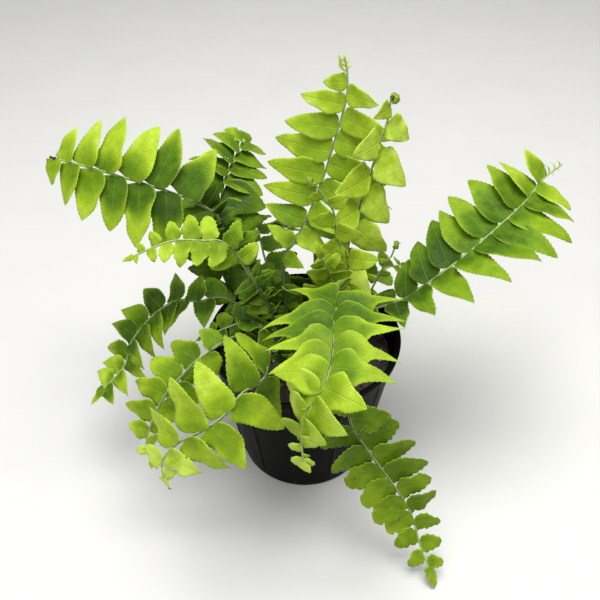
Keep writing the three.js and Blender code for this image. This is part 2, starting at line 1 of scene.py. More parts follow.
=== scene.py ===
"""The looks of a potted sword fern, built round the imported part.

Shapes are worked out in millimetres and go into their meshes in metres. +Z is up, the origin is the
middle of the pot's underside, and the front of the plant is towards -Y.
"""

import math

import bpy
import numpy as np
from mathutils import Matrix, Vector


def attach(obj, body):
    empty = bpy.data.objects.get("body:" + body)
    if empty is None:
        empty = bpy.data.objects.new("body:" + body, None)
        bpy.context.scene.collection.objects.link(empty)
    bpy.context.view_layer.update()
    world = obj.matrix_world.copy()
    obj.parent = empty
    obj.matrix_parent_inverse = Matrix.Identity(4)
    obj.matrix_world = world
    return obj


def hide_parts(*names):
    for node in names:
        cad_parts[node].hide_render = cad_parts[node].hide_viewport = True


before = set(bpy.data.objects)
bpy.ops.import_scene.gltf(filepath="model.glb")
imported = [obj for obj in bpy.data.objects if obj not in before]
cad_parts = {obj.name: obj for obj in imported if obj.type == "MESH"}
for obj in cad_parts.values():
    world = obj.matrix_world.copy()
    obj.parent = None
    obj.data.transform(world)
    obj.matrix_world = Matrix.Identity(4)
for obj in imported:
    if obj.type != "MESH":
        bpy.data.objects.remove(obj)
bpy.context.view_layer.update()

MM = 0.001

# The pot
POT_HEIGHT = 88
POT_RIM_RADIUS = 52.5
POT_BASE_RADIUS = 37
POT_WALL = 1.5
POT_FLOOR = 2
POT_COLUMNS = 480
POT_ROUNDING = 0.7
MOST_ROUNDING_SHARE = 0.45
NEAR_TOP = 0.01
RIM_BAND_HEIGHT = 6
RIM_BAND_PROUD = 1.5
RIM_BAND_SLOPE = 0.5
STAND_WIDTH = 5
STAND_SLOPE = 1
STAND_HEIGHT = 0.6
BASE_EDGE = 0.4
BASE_EDGE_HEIGHT = 2
RIB_COUNT = 12
RIB_PROUD = 0.7
RIB_WIDTH = 1.8
RIB_SHARP = 1.2
RIB_FOOT = 3
RIB_FOOT_FADE = 2
RIB_TOP_FADE = 0.5
RIB_ROWS = 40
RIB_ROWS_CLEAR = 1
RIB_TURN = math.radians(-98)

# The mix in it, with three sizes of crumbs, and the bits on top
MIX_EDGE_Z = 76
MIX_RISE = 2.6
MIX_LUMP = 0.8
MIX_COLUMNS = 300
MIX_RINGS = 90
MIX_RING_SHARES = (0.985, 0.0004)
MIX_SUNK = 0.4
MIX_SHOULDER = 2
CLEARANCE = 0.3
CRUMB_SIZES = (5.5, 2.4, 1.0)
CRUMB_HEIGHTS = (0.9, 0.7, 0.35)
CRUMBS_END = 0.93
BITS_REACH = 0.93
BARK_COUNT = 420
BARK_LENGTH = (0.8, 2.6)
BARK_WIDTH = (0.35, 0.7)
BARK_THICK = (0.2, 0.4)
BARK_TONE_POWER = 1.6
PERLITE_COUNT = 46
PERLITE_LENGTH = (0.6, 1.35)
PERLITE_WIDTH = (0.7, 1)
PERLITE_THICK = (0.6, 0.9)
LUMP_RINGS = 5
LUMP_SIDES = 7
LUMP_POLE = 0.18
LUMP_ROUGH = (0.72, 1.12)

# What all fronds share, as in the part's source
ROOT_Z = 70
LEAF_RISE = 0.28
DROOP = 0.12
LOUVRE = math.radians(7)
EAR_WIDER = 0.22
EAR_WIDER_REACH = 0.14
EAR_NARROWER = 0.15
EAR_NARROWER_REACH = 0.16
END_HALF = 0.35
TIP_LENGTH_SHARE = 0.85
TIP_LONGER = 3
TIP_WIDTH_SHARE = 0.45
TIP_AT = 0.99
NEARLY_NONE = 0.01
BUD_START = 0.35
BUD_SPAN = 0.6
BUD_ANGLE = 50
BUD_LENGTH = 5.5
BUD_SHORTER = 0.4
BUD_WIDTH = 1.8
BUD_POINT = 0.6
BUD_LIFT = 20
ANGLE_SPREAD = 5
LIFT_SPREAD = 4
LENGTH_SPREAD = 0.06
WIDTH_SPREAD = 0.05
CROWDING = 0.92
LEAST_WIDE = 0.35
MOST_WIDTH_SHARE = 0.8
CURL_TURNS = 1.3
CURL_SHRINK = 0.68

# How a leaflet finds room, as in the part's source: the bends and shortenings it may have, how near
# it may come, and the places on it that are looked at, along and across
BENDS = [0, 12, -12, 24, -24, 36, -36]
SHORTENINGS = [1, 0.8, 0.6]
KEEP_AWAY = 3
JUDGE_STEP = 2.5
JUDGED = (np.arange(1, 10) / 9, (-0.9, -0.3, 0.3, 0.9))
POT_KEEP_AWAY = 2.5
RIM_KEEP_AWAY = 2
GROUND_KEEP_AWAY = 1.5
MIX_KEEP_AWAY = 6

# Small leaflets low on the stalks: how far from its foot they start and before the first pair they
# end, how far apart they are, how long they are at the foot and at the head, the ranges that each
# of them is drawn from, how much their tone is scaled down, partly for older growth and partly as
# painted shade deep in the crown, and how near they may come
STALK_CLEAR = 17
STALK_END_CLEAR = 9
STALK_STEP = 2.9
STALK_LEAFLETS = (6, 14.5)
STALK_SHAKE = (-0.3, 0.3)
STALK_SIZE = (0.7, 1.2)
STALK_WIDTH = (0.6, 0.85)
STALK_POINT = (0.4, 0.75)
STALK_ANGLE = (60, 110)
STALK_LIFT = (-5, 40)
STALK_TWIST = (-75, 75)
# Partly painted shade: stalk leaflets deep in the crown get a darker tone, the rest of it for their older
# growth
STALK_TONE_AGE_AND_SHADE = 0.45
STALK_KEEP_AWAY = 1.1
STALK_JUDGED = ((0.3, 0.65, 1), (-0.9, 0, 0.9))

# A leaflet's blade, which is finer than in the part's source
BLADE_THICK = 0.34
EDGE_THICK = 0.14
FULL_THICK_LENGTH = 6
LEAST_HALF = (0.3, 0.05)
FINE_LENGTH = 9
FINE_COLUMNS = (-1, -0.82, -0.45, 0, 0.45, 0.82, 1)
PLAIN_COLUMNS = (-1, -0.4, 0.4, 1)
FINE_ROWS_PER_TOOTH = 4
PLAIN_ROWS_PER_TOOTH = 2

# Its edge and its folds. A tooth is a rooted sine that grows over the foot of the leaflet
TEETH = (0.5, 2.1)
FEWEST_TEETH = 4
TOOTH_ROOT = 0.7
TOOTH_LEVEL = 0.55
TOOTH_SHIFT = 0.9
TOOTH_EDGE = 6
TOOTH_SPAN = (0.03, 0.15)
TOOTH_FULL_HALF = 2.5
TAIL_SPAN = 0.2
TAIL_POINTS = (0.8, 1.1)
FOLD = 0.16
FOLD_FLATTENS = 1.1
WAVE_SPAN = (0.05, 0.3)
LEAN = 0.36
LEAN_SPAN = (0, 0.25)

# The ranges that set one leaflet apart from the next: outlines, folds, dips and turns in shares,
# waves in millimetres, rolls in radians
UNEVEN = (0.02, 0.09)
SWELLS = (0.8, 2.2)
SWELL_SHIFT = (0.2, 0.8)
FOLD_USUAL = 0.9
FOLD_RANGE = (-0.7, 0.7)
WAVE = (0.1, 0.75)
WAVES = (1, 2.4)
WAVE_FULL_LENGTH = 15
ROLL = (-0.45, 0.45)
DIP_USUAL = 0.02
DIP_RANGE = (-0.1, 0.1)
TIP_CURL = (-0.05, 0.16)
SWEEP = (-0.06, 0.07)
TURN = (-0.07, 0.07)
NOTCH = (0.25, 0.5)

# How tones pass from a leaflet's foot to its tip: the power by which they pass from pair to pair,
# where the band starts, how wide it is, how far it lags in the middle and how far its sides lead
# that, and how much leaflets differ
TONE_POWER = 1.6
BAND_START = (-0.1, 0.45)
BAND_WIDTH = (0.35, 0.65)
BAND_LAG = 0.15
BAND_BOW = 0.3
TONE_RANGE = (-0.1, 0.1)

# An unopened leaflet near a frond's tip: a club that is widest near its end, shorter on one side
BUD_SHAPE = dict(rise=1.3, point=0.4, width=1.9, small=True)
BUD_SHORT = {1: 0.5, -1: 1}
BUD_HABIT = dict(teeth=6, tooth=0, uneven=0, swells=1, shift=0, fold=2, wave=0, waves=1, phase=0,
                 roll=0, dip=0.5, curl=0.3, sweep=0, turn=0, lean=0, tail=0, notch=0.5)

# A small lobe that isn't yet apart, at a frond's very end
LOBE_WIDTH_SHARE = 0.9
LOBE_POINT = 0.45
LOBE_LIFT = 8

# The midrib
MIDRIB_LAP = 0.3
LEAST_SLANT = 0.05
MIDRIB_SIDES = 10
MIDRIB_STEP = 1.6
MIDRIB_SLIM = 0.95
MIDRIB_TIP_SLIM = 0.75
MIDRIB_END_SLIM = 0.3
GROOVE_DEPTH = 0.28
GROOVE_HALF_ANGLE = 0.35
CHORDS = 200
HEADING_STEP = 1e-4

# A rolled tip, and the tiny leaflets on it: how far they spread to the sides, their length as a
# share of the roll's radius, from its start to its middle, and what else they have in common
CURL_STEPS = 26
CURL_SPAN = 0.1
CURL_THICK = (1.3, 0.8)
SCALE_SPREAD = (0.2, 0.95)
SCALE_LENGTH = 0.95
SCALE_LENGTHS = (1.1, 0.6)
SCALE_WIDTH = 0.8
SCALE_SHAPE = dict(point=0.4, lift=-15, share=0.9, small=True, fresh=0.75)

# A dried tip: where the midrib dies off, and the place and size of each shrivelled lump
DEAD_SPAN = (0.965, 0.985)
DRIED_LUMPS = ((0.978, 0.9), (0.988, 1.25), (0.995, 1.5), (1, 1.1))
DRIED_SHAPE = np.array([1, 0.7, 0.6])
DRIED_SHAKE = 0.35

# Water drops lie on the leaflets of these fronds: from which share of the midrib, to which, and the
# most on one leaflet
WET = {
    "back_left": (0.5, 1, 4),
    "left_low": (0, 0.5, 3),
    "young_back_left": (0, 1, 3),
    "young_left": (0, 0.4, 2),
    "young_front_left": (0, 1, 3),
    "right_long": (0, 0.5, 2),
    "left_front": (0, 0.6, 2),
    "front_right_trailing": (0.3, 0.6, 2),
    "young_back_right": (0, 1, 2),
}
DROP_ALONG = (0.2, 0.8)
DROP_ACROSS = (-0.6, 0.6)
DROP_RADIUS = (0.35, 0.85)
DROP_FLAT = 0.62
DROP_SUNK = 0.35
DROP_RINGS = 6
DROP_SIDES = 10
DROP_POLE = 0.25
DROP_PROBE = (0.02, 0.05)
DROP_TURN = (0.3, 0.5, 0.8)

# Where the random draws of the bits, the drops and the stalks start
BITS_SEED = 41
DROPS_SEED = 77
STALKS_SEED = 100

# The camera: where it stands, how far it looks down, and its focal length in pixels of a frame of
# FRAME_PIXELS
CAMERA_PLACE = (-0.0025, -0.289, 0.3675)
CAMERA_PITCH = 41.4
CAMERA_FOCAL = 736
CAMERA_SENSOR = 36
FRAME_PIXELS = 600

# The lights, which look at the middle of the plant, and the floor, in metres
KEY_LIGHT = dict(place=(0.1, 0.0, 1.2), size=0.8, watts=24, colour=(1.0, 0.99, 0.97))
FILL_LIGHT = dict(place=(-0.6, -1.0, 0.9), size=1.2, watts=11, colour=(1.0, 1.0, 1.0))
LIGHTS_AIM = (0, 0, 0.1)
SKY_COLOUR = (1.0, 1.0, 0.99, 1)
SKY_STRENGTH = 0.42
FLOOR_HALF = 4
FLOOR_Z = -0.00002

# What most fronds share. A frond's values mean:
# name and slot, its own and its finish's, and seed, where its random draws start;
# rib, the midrib's radius at its foot and at its tip, and face, face_end, the way its upper face
# looks at the first pair and at the last, where that differs;
# bare, the share of the midrib that is bare stalk, end, where the last pair stands, and pairs;
# leaf and wide, the longest leaflet's length and width, and rise and point, the powers by which a
# leaflet widens from its foot and narrows to its tip, point on the first and the last pair;
# first, peak and last, the length share of the first and last pairs and where the longest stands;
# angle, from midrib to leaflet on the first and last pair, and splay, what the first pair adds;
# lift and sweep, how far leaflets are raised, and bent towards the frond's tip;
# tip, a last leaflet at the end, curl, the radius of a rolled tip, buds, the number of unopened
# leaflets, lobes, each small lobe's place, side, angle and length, and dried, a shrivelled tip;
# plump, how many times fuller leaflets are than in the part's source, on the first pair and at the
# tip, taper, how much narrower their ends are, and tail, how much narrower a pointed one ends;
# loose, how much folds, waves and rolls differ, uneven, how far outlines swell, and teeth, the
# depth and step of the teeth;
# tone, how far leaflets have turned from dark blue-green to pale lime, at their feet and their tips
# on the first pair, then the same on the last.
USUAL = dict(
    rib=(0.9, 0.7), face_end=None, end=0.98, rise=LEAF_RISE, first=0.95, peak=0.3, angle=(95, 75), splay=0,
    lift=8, sweep=0.1, tip=True, curl=0, buds=0, lobes=(), dried=False, plump=(1, 1), taper=0, tail=0,
    loose=1, uneven=UNEVEN, teeth=TEETH,
)

# Each frond, in millimetres and degrees. Its route is the points that its midrib passes through.
FRONDS = [
    dict(
        USUAL, name="front_arching", slot="leaf_lime", seed=7, rib=(1, 0.7), tip=False, teeth=(0.3, 2),
        route=[(6, 0, ROOT_Z), (9, -5, 112), (15, -28, 140), (12, -53, 147), (11, -73, 149),
               (8, -88, 147), (2, -95, 140), (-2, -98, 127), (-1, -101, 110)],
        face=(-0.18, -0.2, 1), bare=0.49, end=0.975, pairs=10, leaf=32, wide=17, peak=0.1, last=0.1,
        angle=(96, 88), splay=32, point=(1.4, 0.55), lift=6, loose=0.3, uneven=(0.04, 0.12), tail=0.5,
        plump=(1, 1.6), lobes=[(0.985, 1, 50, 6), (0.988, -1, 60, 5.5), (0.995, 1, 0, 6)],
        tone=(0.25, 0.7, 0.95, 1.05),
    ),
    dict(
        USUAL, name="right_tall", slot="leaf_green", seed=5, rib=(1, 0.7), tip=False, curl=3,
        route=[(8, 13, ROOT_Z), (25, 24, 140), (29, 30, 155), (34, 36, 170), (38, 41, 184),
               (41, 44, 193), (42, 46, 204)],
        face=(0.25, -0.94, 0.23), face_end=(0.5, -0.85, 0.1), bare=0.38, end=0.97, pairs=5, leaf=24,
        wide=17, first=0.98, peak=0.65, last=0.47, angle=(134, 118), point=(0.62, 0.62), lift=20,
        teeth=(0.22, 2.2), plump=(1.12, 1.2), taper=0.45, tone=(0.8, 0.92, 0.9, 1),
    ),
    dict(
        USUAL, name="centre_tall", slot="leaf_green", seed=4, rib=(1, 0.7), tip=False, buds=6,
        route=[(-8, 10, ROOT_Z), (-12, 24, 116), (-5, 30, 129), (3, 38, 143), (11, 46, 163),
               (17, 54, 182), (21, 58, 198), (21, 60, 210), (19, 61, 219)],
        face=(-0.5, -0.85, 0), bare=0.33, end=0.92, pairs=8, leaf=32, wide=14.5, first=0.4, peak=0.65,
        last=0.45, angle=(100, 96), point=(0.8, 0.8), lift=20, sweep=0.03, teeth=(0.25, 2.4),
        tone=(0.4, 0.72, 0.85, 1),
    ),
    dict(
        USUAL, name="right_long", slot="leaf_green", seed=6, rib=(1, 0.7), tip=False, buds=5,
        route=[(14, 4, ROOT_Z), (30, 6, 96), (51, 5, 108), (62, 5, 118), (82, 12, 132), (103, 28, 141),
               (118, 42, 146), (131, 59, 149), (146, 74, 150)],
        face=(-0.9, 0.15, 0.35), face_end=(-0.25, -0.85, 0.4), bare=0.19, end=0.88, pairs=10, leaf=32.5,
        wide=16.5, first=0.5, peak=0.65, last=0.6, angle=(80, 85), point=(0.75, 0.75), lift=17,
        loose=0.75, plump=(1, 1.25), tone=(0.06, 0.34, 0.6, 1.0),
    ),
    dict(
        USUAL, name="left_long", slot="leaf_green", seed=1, rib=(1, 0.7), tip=False, dried=True, rise=0.22,
        route=[(-14, 12, ROOT_Z), (-26, 20, 108), (-43, 24, 145), (-57, 22, 160), (-81, 24, 169),
               (-108, 32, 173), (-130, 42, 173)],
        face=(-0.05, -0.8, 0.6), bare=0.6, end=0.985, pairs=6, leaf=30.7, wide=15, last=0.45,
        angle=(116, 92), point=(0.7, 0.7), lift=5, sweep=0.14, teeth=(0.35, 2), loose=0.7,
        uneven=(0.03, 0.12), plump=(1.2, 1.25), tone=(0.15, 0.78, 0.7, 0.88),
    ),
    dict(
        USUAL, name="front_left", slot="leaf_lime", seed=8, rib=(1, 0.7),
        route=[(-6, -12, ROOT_Z), (-16, -28, 106), (-19, -55, 113), (-29, -64, 112), (-37, -72, 106),
               (-47, -76, 100), (-60, -76, 90), (-68, -77, 78), (-68, -80, 68)],
        face=(0.05, -0.98, 0.17), face_end=(-0.5, -0.75, 0.45), bare=0.42, pairs=6, leaf=28, wide=14.5,
        first=0.9, peak=0.5, last=0.26, angle=(100, 104), point=(0.65, 0.65), lift=2,
        uneven=(0.04, 0.14), plump=(1.1, 1.45), taper=0.3, loose=1.2, tone=(0.3, 0.7, 1.1, 1.15),
    ),
    dict(
        USUAL, name="front_right_trailing", slot="leaf_deep", seed=11, rib=(1, 0.7),
        route=[(14, -14, ROOT_Z), (20, -40, 98), (21, -56, 101), (22, -64, 90), (31, -68, 74),
               (46, -73, 50), (55, -77, 33), (60, -85, 18), (65, -94, 8)],
        face=(-0.3, -0.75, 0.6), face_end=(0, -0.65, 0.75), bare=0.35, end=0.975, pairs=9, leaf=21.5,
        wide=23, first=0.78, last=0.42, angle=(96, 70), point=(0.4, 0.4), lift=5, teeth=(1.1, 3.1),
        uneven=(0.04, 0.14), plump=(1.1, 1.2), taper=0.35, tone=(0.35, 0.5, 0.6, 0.75),
    ),
    dict(
        USUAL, name="young_left", slot="leaf_lime", seed=3, rib=(1, 0.7),
        route=[(-9, 4, ROOT_Z), (-22, 0, 116), (-38, 0, 148), (-50, -1, 152), (-64, -1, 152),
               (-75, -3, 149), (-85, -5, 145)],
        face=(0, -0.6, 0.8), bare=0.55, pairs=7, leaf=13.5, wide=10.5, first=0.9, last=0.3,
        point=(0.5, 0.5), teeth=(0.7, 2.4), uneven=(0.05, 0.15), plump=(1.05, 1.1), taper=0.35,
        tone=(0.45, 0.75, 0.72, 0.9),
    ),
    dict(
        USUAL, name="left_front", slot="leaf_lime", seed=9,
        route=[(-13, -5, ROOT_Z), (-32, -14, 100), (-51, -29, 101), (-61, -35, 94), (-71, -41, 84),
               (-78, -47, 72), (-82, -52, 60), (-80, -57, 50)],
        face=(0.3, -0.7, 0.67), bare=0.4, pairs=7, leaf=19, wide=13.5, first=0.7, peak=0.4, last=0.14,
        angle=(81, 81), point=(0.6, 0.6), lift=-15, uneven=(0.04, 0.13), plump=(1.15, 1.25), taper=0.2,
        loose=1.3, tone=(0.36, 0.66, 0.85, 1.05),
    ),
    dict(
        USUAL, name="left_low", slot="leaf_deep", seed=10,
        route=[(-17, 7, ROOT_Z), (-40, 14, 100), (-58, 11, 102), (-71, 16, 98), (-85, 12, 90),
               (-97, 5, 77), (-102, -1, 64), (-114, -10, 54)],
        face=(-0.2, -0.3, 1), bare=0.33, pairs=9, leaf=21, wide=12.5, first=0.85, peak=0.4, last=0.55,
        angle=(86, 72), point=(1, 1), plump=(1.1, 1.2), loose=0.6, tone=(0.12, 0.42, 0.4, 0.9),
    ),
    dict(
        USUAL, name="back_left", slot="leaf_deep", seed=2, rib=(1, 0.7),
        route=[(-18, 20, ROOT_Z), (-44, 34, 96), (-46, 38, 111), (-46, 42, 131), (-45, 54, 146),
               (-42, 72, 149), (-38, 90, 150), (-36, 104, 150)],
        face=(0.1, -0.65, 0.75), face_end=(0.2, -0.8, 0.55), bare=0.2, pairs=10, leaf=23.5, wide=16,
        first=0.6, peak=0.6, last=0.55, angle=(102, 102), point=(0.75, 0.75), lift=16,
        plump=(1.2, 1.45), tone=(0.08, 0.27, 0.35, 0.6),
    ),
    dict(
        USUAL, name="young_centre", slot="leaf_lime", seed=12, rib=(0.8, 0.6), tip=False, curl=2.6,
        route=[(4, 6, ROOT_Z), (22, 6, 128), (16, 8, 147), (14, 8, 162), (10, 7, 170), (5, 5, 180),
               (2, 3, 185)],
        face=(-0.2, -0.9, 0.3), bare=0.4, end=0.9, pairs=4, leaf=15, wide=12, last=0.5,
        angle=(110, 100), point=(0.6, 0.6), teeth=(0.3, 2.2), tone=(0.6, 0.8, 0.75, 0.9),
    ),
    dict(
        USUAL, name="young_front_left", slot="leaf_green", seed=13,
        route=[(-12, 0, ROOT_Z), (-20, -6, 96), (-31, -4, 101), (-42, -7, 99), (-53, -7, 93)],
        face=(0, -0.2, 1), bare=0.35, end=0.97, pairs=5, leaf=15, wide=12, last=0.4,
        point=(0.5, 0.5), tone=(0.1, 0.3, 0.3, 0.5),
    ),
    dict(
        USUAL, name="young_crown", slot="leaf_lime", seed=15,
        route=[(0, 3, ROOT_Z), (12, 2, 120), (12, -2, 133), (8, -5, 145)],
        face=(0, -0.7, 0.6), bare=0.5, end=0.95, pairs=4, leaf=12, wide=10.5, last=0.6,
        point=(0.5, 0.5), tone=(0.45, 0.7, 0.6, 0.8),
    ),
    dict(
        USUAL, name="young_back_left", slot="leaf_deep", seed=19,
        route=[(-4, 14, ROOT_Z), (-12, 22, 90), (-20, 28, 98), (-28, 34, 102), (-36, 44, 100)],
        face=(0, -0.4, 1), bare=0.35, end=0.96, pairs=4, leaf=14, wide=12, last=0.5,
        point=(0.55, 0.55), tone=(0.1, 0.25, 0.2, 0.4),
    ),
    dict(
        USUAL, name="young_back_right", slot="leaf_green", seed=20,
        route=[(18, 16, ROOT_Z), (26, 20, 96), (36, 23, 108), (46, 28, 112), (55, 35, 108)],
        face=(0, -0.4, 1), bare=0.4, end=0.96, pairs=4, leaf=14, wide=12.5, last=0.5,
        point=(0.55, 0.55), tone=(0.2, 0.35, 0.3, 0.5),
    ),
    dict(
        USUAL, name="young_right", slot="leaf_lime", seed=16, rib=(0.8, 0.6), tip=False, curl=2.4,
        route=[(22, 10, ROOT_Z), (42, 18, 120), (46, 20, 126), (48, 20, 135)],
        face=(0, -0.7, 0.6), bare=0.35, end=0.8, pairs=3, leaf=7, wide=5, last=0.6,
        point=(0.6, 0.6), tone=(0.5, 0.6, 0.6, 0.8),
    ),
    dict(
        USUAL, name="back_low_left", slot="leaf_deep", seed=14,
        route=[(-6, 20, ROOT_Z), (-21, 44, 99), (-25, 56, 106), (-28, 72, 107), (-32, 88, 105)],
        face=(0, -0.3, 1), bare=0.3, end=0.97, pairs=5, leaf=19, wide=13, first=0.9, last=0.4,
        point=(0.7, 0.7), lift=15, tone=(0.1, 0.3, 0.3, 0.5),
    ),
    dict(
        USUAL, name="back_right", slot="leaf_deep", seed=17, rib=(1, 0.7),
        route=[(12, 22, ROOT_Z), (20, 40, 108), (26, 58, 120), (32, 80, 120), (37, 98, 108),
               (40, 112, 92)],
        face=(0, -0.1, 1), bare=0.34, pairs=4, leaf=21, wide=14, first=0.85, peak=0.4, last=0.35,
        angle=(95, 78), point=(0.65, 0.65), tone=(0.15, 0.4, 0.4, 0.6),
    ),
    dict(
        USUAL, name="back_middle", slot="leaf_green", seed=18,
        route=[(2, 24, ROOT_Z), (6, 44, 104), (2, 64, 112), (-4, 84, 104), (-10, 100, 88),
               (-12, 110, 72)],
        face=(0, 0.1, 1), bare=0.34, pairs=5, leaf=19, wide=13.5, first=0.85, peak=0.4, last=0.35,
        angle=(95, 78), point=(0.65, 0.65), tone=(0.25, 0.5, 0.5, 0.7),
    ),
]


# Vectors and meshes


def unit(v):
    """A vector, or rows of vectors, scaled to a length of 1."""
    v = np.asarray(v, float)
    return v / np.linalg.norm(v, axis=-1, keepdims=True)


def blend(a, b, share):
    """The value a share of the way from a to b."""
    return a + (b - a) * share


def ease(x, low, high):
    """0 below low, 1 above high, and a smooth rise between: 3x^2 - 2x^3 of the share passed."""
    x = np.clip((x - low) / (high - low), 0, 1)
    return x * x * (3 - 2 * x)


def turned(start, towards, angle):
    """A unit vector turned by an angle towards another that is square to it."""
    return start * math.cos(angle) + towards * math.sin(angle)


def angles_round(count):
    """Angles at even steps once round: 2 pi times i, over their count."""
    return np.arange(count) * 2 * math.pi / count


def triples(x, y, z):
    """Points, or other threes of numbers, from numbers that are spread over one grid."""
    return np.stack(np.broadcast_arrays(x, y, z), -1)


def round_axis(radius, angle, height):
    """Points at a radius and an angle round the upright axis, and at a height."""
    return triples(radius * np.cos(angle), radius * np.sin(angle), height)


def shell_faces(rings, count, flipped=False):
    """Faces of a skin over rings of count points: quads between rings, and one face on each end."""
    ring, i = np.meshgrid(np.arange(rings - 1), np.arange(count), indexing="ij")
    here = ring * count
    following = (i + 1) % count
    quads = np.stack([here + i, here + following, here + count + following, here + count + i], -1)
    ends = np.stack([np.arange(count)[::-1], (rings - 1) * count + np.arange(count)])
    step = -1 if flipped else 1
    return [quads.reshape(-1, 4)[:, ::step], ends[:, ::step]]


class Body:
    """Points, faces and values that are gathered from many shapes into one mesh."""

    def __init__(self):
        self.points = []
        self.faces = []
        self.kinds = []
        self.values = {}
        self.count = 0

    def add(self, points, faces, kind=0, **values):
        """Adds a shape: its points, its arrays of faces, which material it has, and its values."""
        points = np.asarray(points, float).reshape(-1, 3)
        for face in faces:
            self.faces.append(face + self.count)
            self.kinds.append(np.full(len(face), kind))
        for name, value in values.items():
            shape = (len(points), 3) if np.ndim(value) == 2 else (len(points),)
            self.values.setdefault(name, []).append(np.broadcast_to(value, shape))
        self.points.append(points)
        self.count += len(points)

    def made(self, name, materials):
        """The object, with its mesh in metres and each value stored on the points."""
        mesh = bpy.data.meshes.new(name)
        points = np.concatenate(self.points) * MM
        sizes = np.concatenate([np.full(len(f), f.shape[1]) for f in self.faces])
        corners = np.concatenate([f.ravel() for f in self.faces])
        mesh.vertices.add(len(points))
        mesh.vertices.foreach_set("co", points.astype(np.float32).ravel())
        mesh.loops.add(len(corners))
        mesh.loops.foreach_set("vertex_index", corners.astype(np.int32))
        mesh.polygons.add(len(sizes))
        starts = np.cumsum(sizes) - sizes
        mesh.polygons.foreach_set("loop_start", starts.astype(np.int32))
        mesh.polygons.foreach_set("material_index", np.concatenate(self.kinds).astype(np.int32))
        mesh.polygons.foreach_set("use_smooth", np.ones(len(sizes), bool))
        mesh.update(calc_edges=True)
        for key, parts in self.values.items():
            value = np.concatenate(parts).astype(np.float32)
            kind = "FLOAT" if value.ndim == 1 else "FLOAT_VECTOR"
            attribute = mesh.attributes.new(key, kind, "POINT")
            attribute.data.foreach_set("value" if value.ndim == 1 else "vector", value.ravel())
        for material in materials:
            mesh.materials.append(material)
        piece = bpy.data.objects.new(name, mesh)
        bpy.context.scene.collection.objects.link(piece)
        return piece


# Materials


class Nodes:
    """A material's nodes, added one by one and joined by the values given to their sockets."""

    def __init__(self, name):
        self.material = bpy.data.materials.new(name)
        self.material.use_nodes = True
        self.tree = self.material.node_tree
        self.tree.nodes.clear()
        self.output = self.tree.nodes.new("ShaderNodeOutputMaterial")

    def give(self, socket, value):
        """Sets a socket to a number or a colour, or joins it to another socket."""
        if isinstance(value, bpy.types.NodeSocket):
            self.tree.links.new(value, socket)
        else:
            socket.default_value = value

    def add(self, kind, sockets, **settings):
        """A node with its settings, and its sockets set or joined."""
        node = self.tree.nodes.new("ShaderNode" + kind)
        for key, value in settings.items():
            setattr(node, key, value)
        for key, value in sockets.items():
            self.give(node.inputs[key], value)
        return node

    def sum(self, operation, a, b=0.0, clamp=False):
        """The result of one sum on two numbers."""
        return self.add("Math", {0: a, 1: b}, operation=operation, use_clamp=clamp).outputs[0]

    def plus(self, a, b):
        """Two numbers added."""
        return self.sum("ADD", a, b)

    def minus(self, a, b):
        """The second number taken from the first."""
        return self.sum("SUBTRACT", a, b)

    def times(self, a, b):
        """Two numbers multiplied."""
        return self.sum("MULTIPLY", a, b)

    def mixed(self, share, a, b, way="MIX"):
        """Two colours mixed by a share."""
        node = self.add("Mix", {}, data_type="RGBA", blend_type=way, clamp_factor=True)
        for key, kind, value in (("Factor", "VALUE", share), ("A", "RGBA", a), ("B", "RGBA", b)):
            socket = next(s for s in node.inputs if s.name == key and s.type == kind)
            self.give(socket, (*value, 1) if isinstance(value, tuple) else value)
        return next(s for s in node.outputs if s.type == "RGBA")

    def eased(self, value, low, high):
        """A number's share of the way from low to high, smoothed at both ends."""
        sockets = {"Value": value, "From Min": low, "From Max": high}
        return self.add("MapRange", sockets, interpolation_type="SMOOTHSTEP").outputs["Result"]

    def place(self):
        """The place on the object, in metres."""
        return self.add("TexCoord", {}).outputs["Object"]

    def stored(self, name):
        """A number stored on the points."""
        return self.add("Attribute", {}, attribute_name=name).outputs["Fac"]

    def axes(self, name):
        """The three numbers of a value stored on the points."""
        value = self.add("Attribute", {}, attribute_name=name).outputs["Vector"]
        return list(self.add("SeparateXYZ", {0: value}).outputs)

    def noise(self, size_mm, detail=3.0, roughness=0.55, where=None):
        """Noise whose lumps are about size_mm across, from 0 to 1."""
        scale = 1 / (size_mm * MM)
        sockets = {"Vector": where or self.place(), "Scale": scale, "Detail": detail, "Roughness": roughness}
        return self.add("TexNoise", sockets).outputs["Fac"]

    def ramp(self, value, stops):
        """A colour read from stops of (place, colour)."""
        node = self.add("ValToRGB", {"Fac": value})
        elements = node.color_ramp.elements
        while len(elements) < len(stops):
            elements.new(0.5)
        for element, (place, colour) in zip(elements, stops):
            element.position = place
            element.color = (*colour, 1)
        return node.outputs["Color"]

    def bump(self, strength, depth_mm, height):
        """The surface's slant where height is carved up to depth_mm deep."""
        sockets = {"Strength": strength, "Distance": depth_mm * MM, "Height": height}
        return self.add("Bump", sockets).outputs[0]

    def skin(self, bump, **sockets):
        """A plain shader, its sockets named with low lines for spaces."""
        named = {key.replace("_", " "): value for key, value in sockets.items()}
        return self.add("BsdfPrincipled", {"Normal": bump, **named})

    def finished(self, shader):
        """The material, with this shader on its surface."""
        self.tree.links.new(shader.outputs[0], self.output.inputs["Surface"])
        return self.material


# Leaf colours from old to new growth, as the sheet's tone goes from 0 to 1
LEAF_TONES = [
    (0.0, (0.022, 0.06, 0.004)),
    (0.2, (0.055, 0.125, 0.004)),
    (0.42, (0.13, 0.24, 0.006)),
    (0.65, (0.255, 0.385, 0.014)),
    (0.85, (0.4, 0.555, 0.03)),
    (1.0, (0.57, 0.73, 0.1)),
]
LEAF_VEIN = (0.5, 0.66, 0.12)
LEAF_BETWEEN_VEINS = (0.72, 0.78, 0.6)
LEAF_EDGE = (0.5, 0.66, 0.09)
LEAF_UNDERSIDE = (0.3, 0.42, 0.09)
LEAF_LIT_THROUGH = (0.42, 0.58, 0.012)

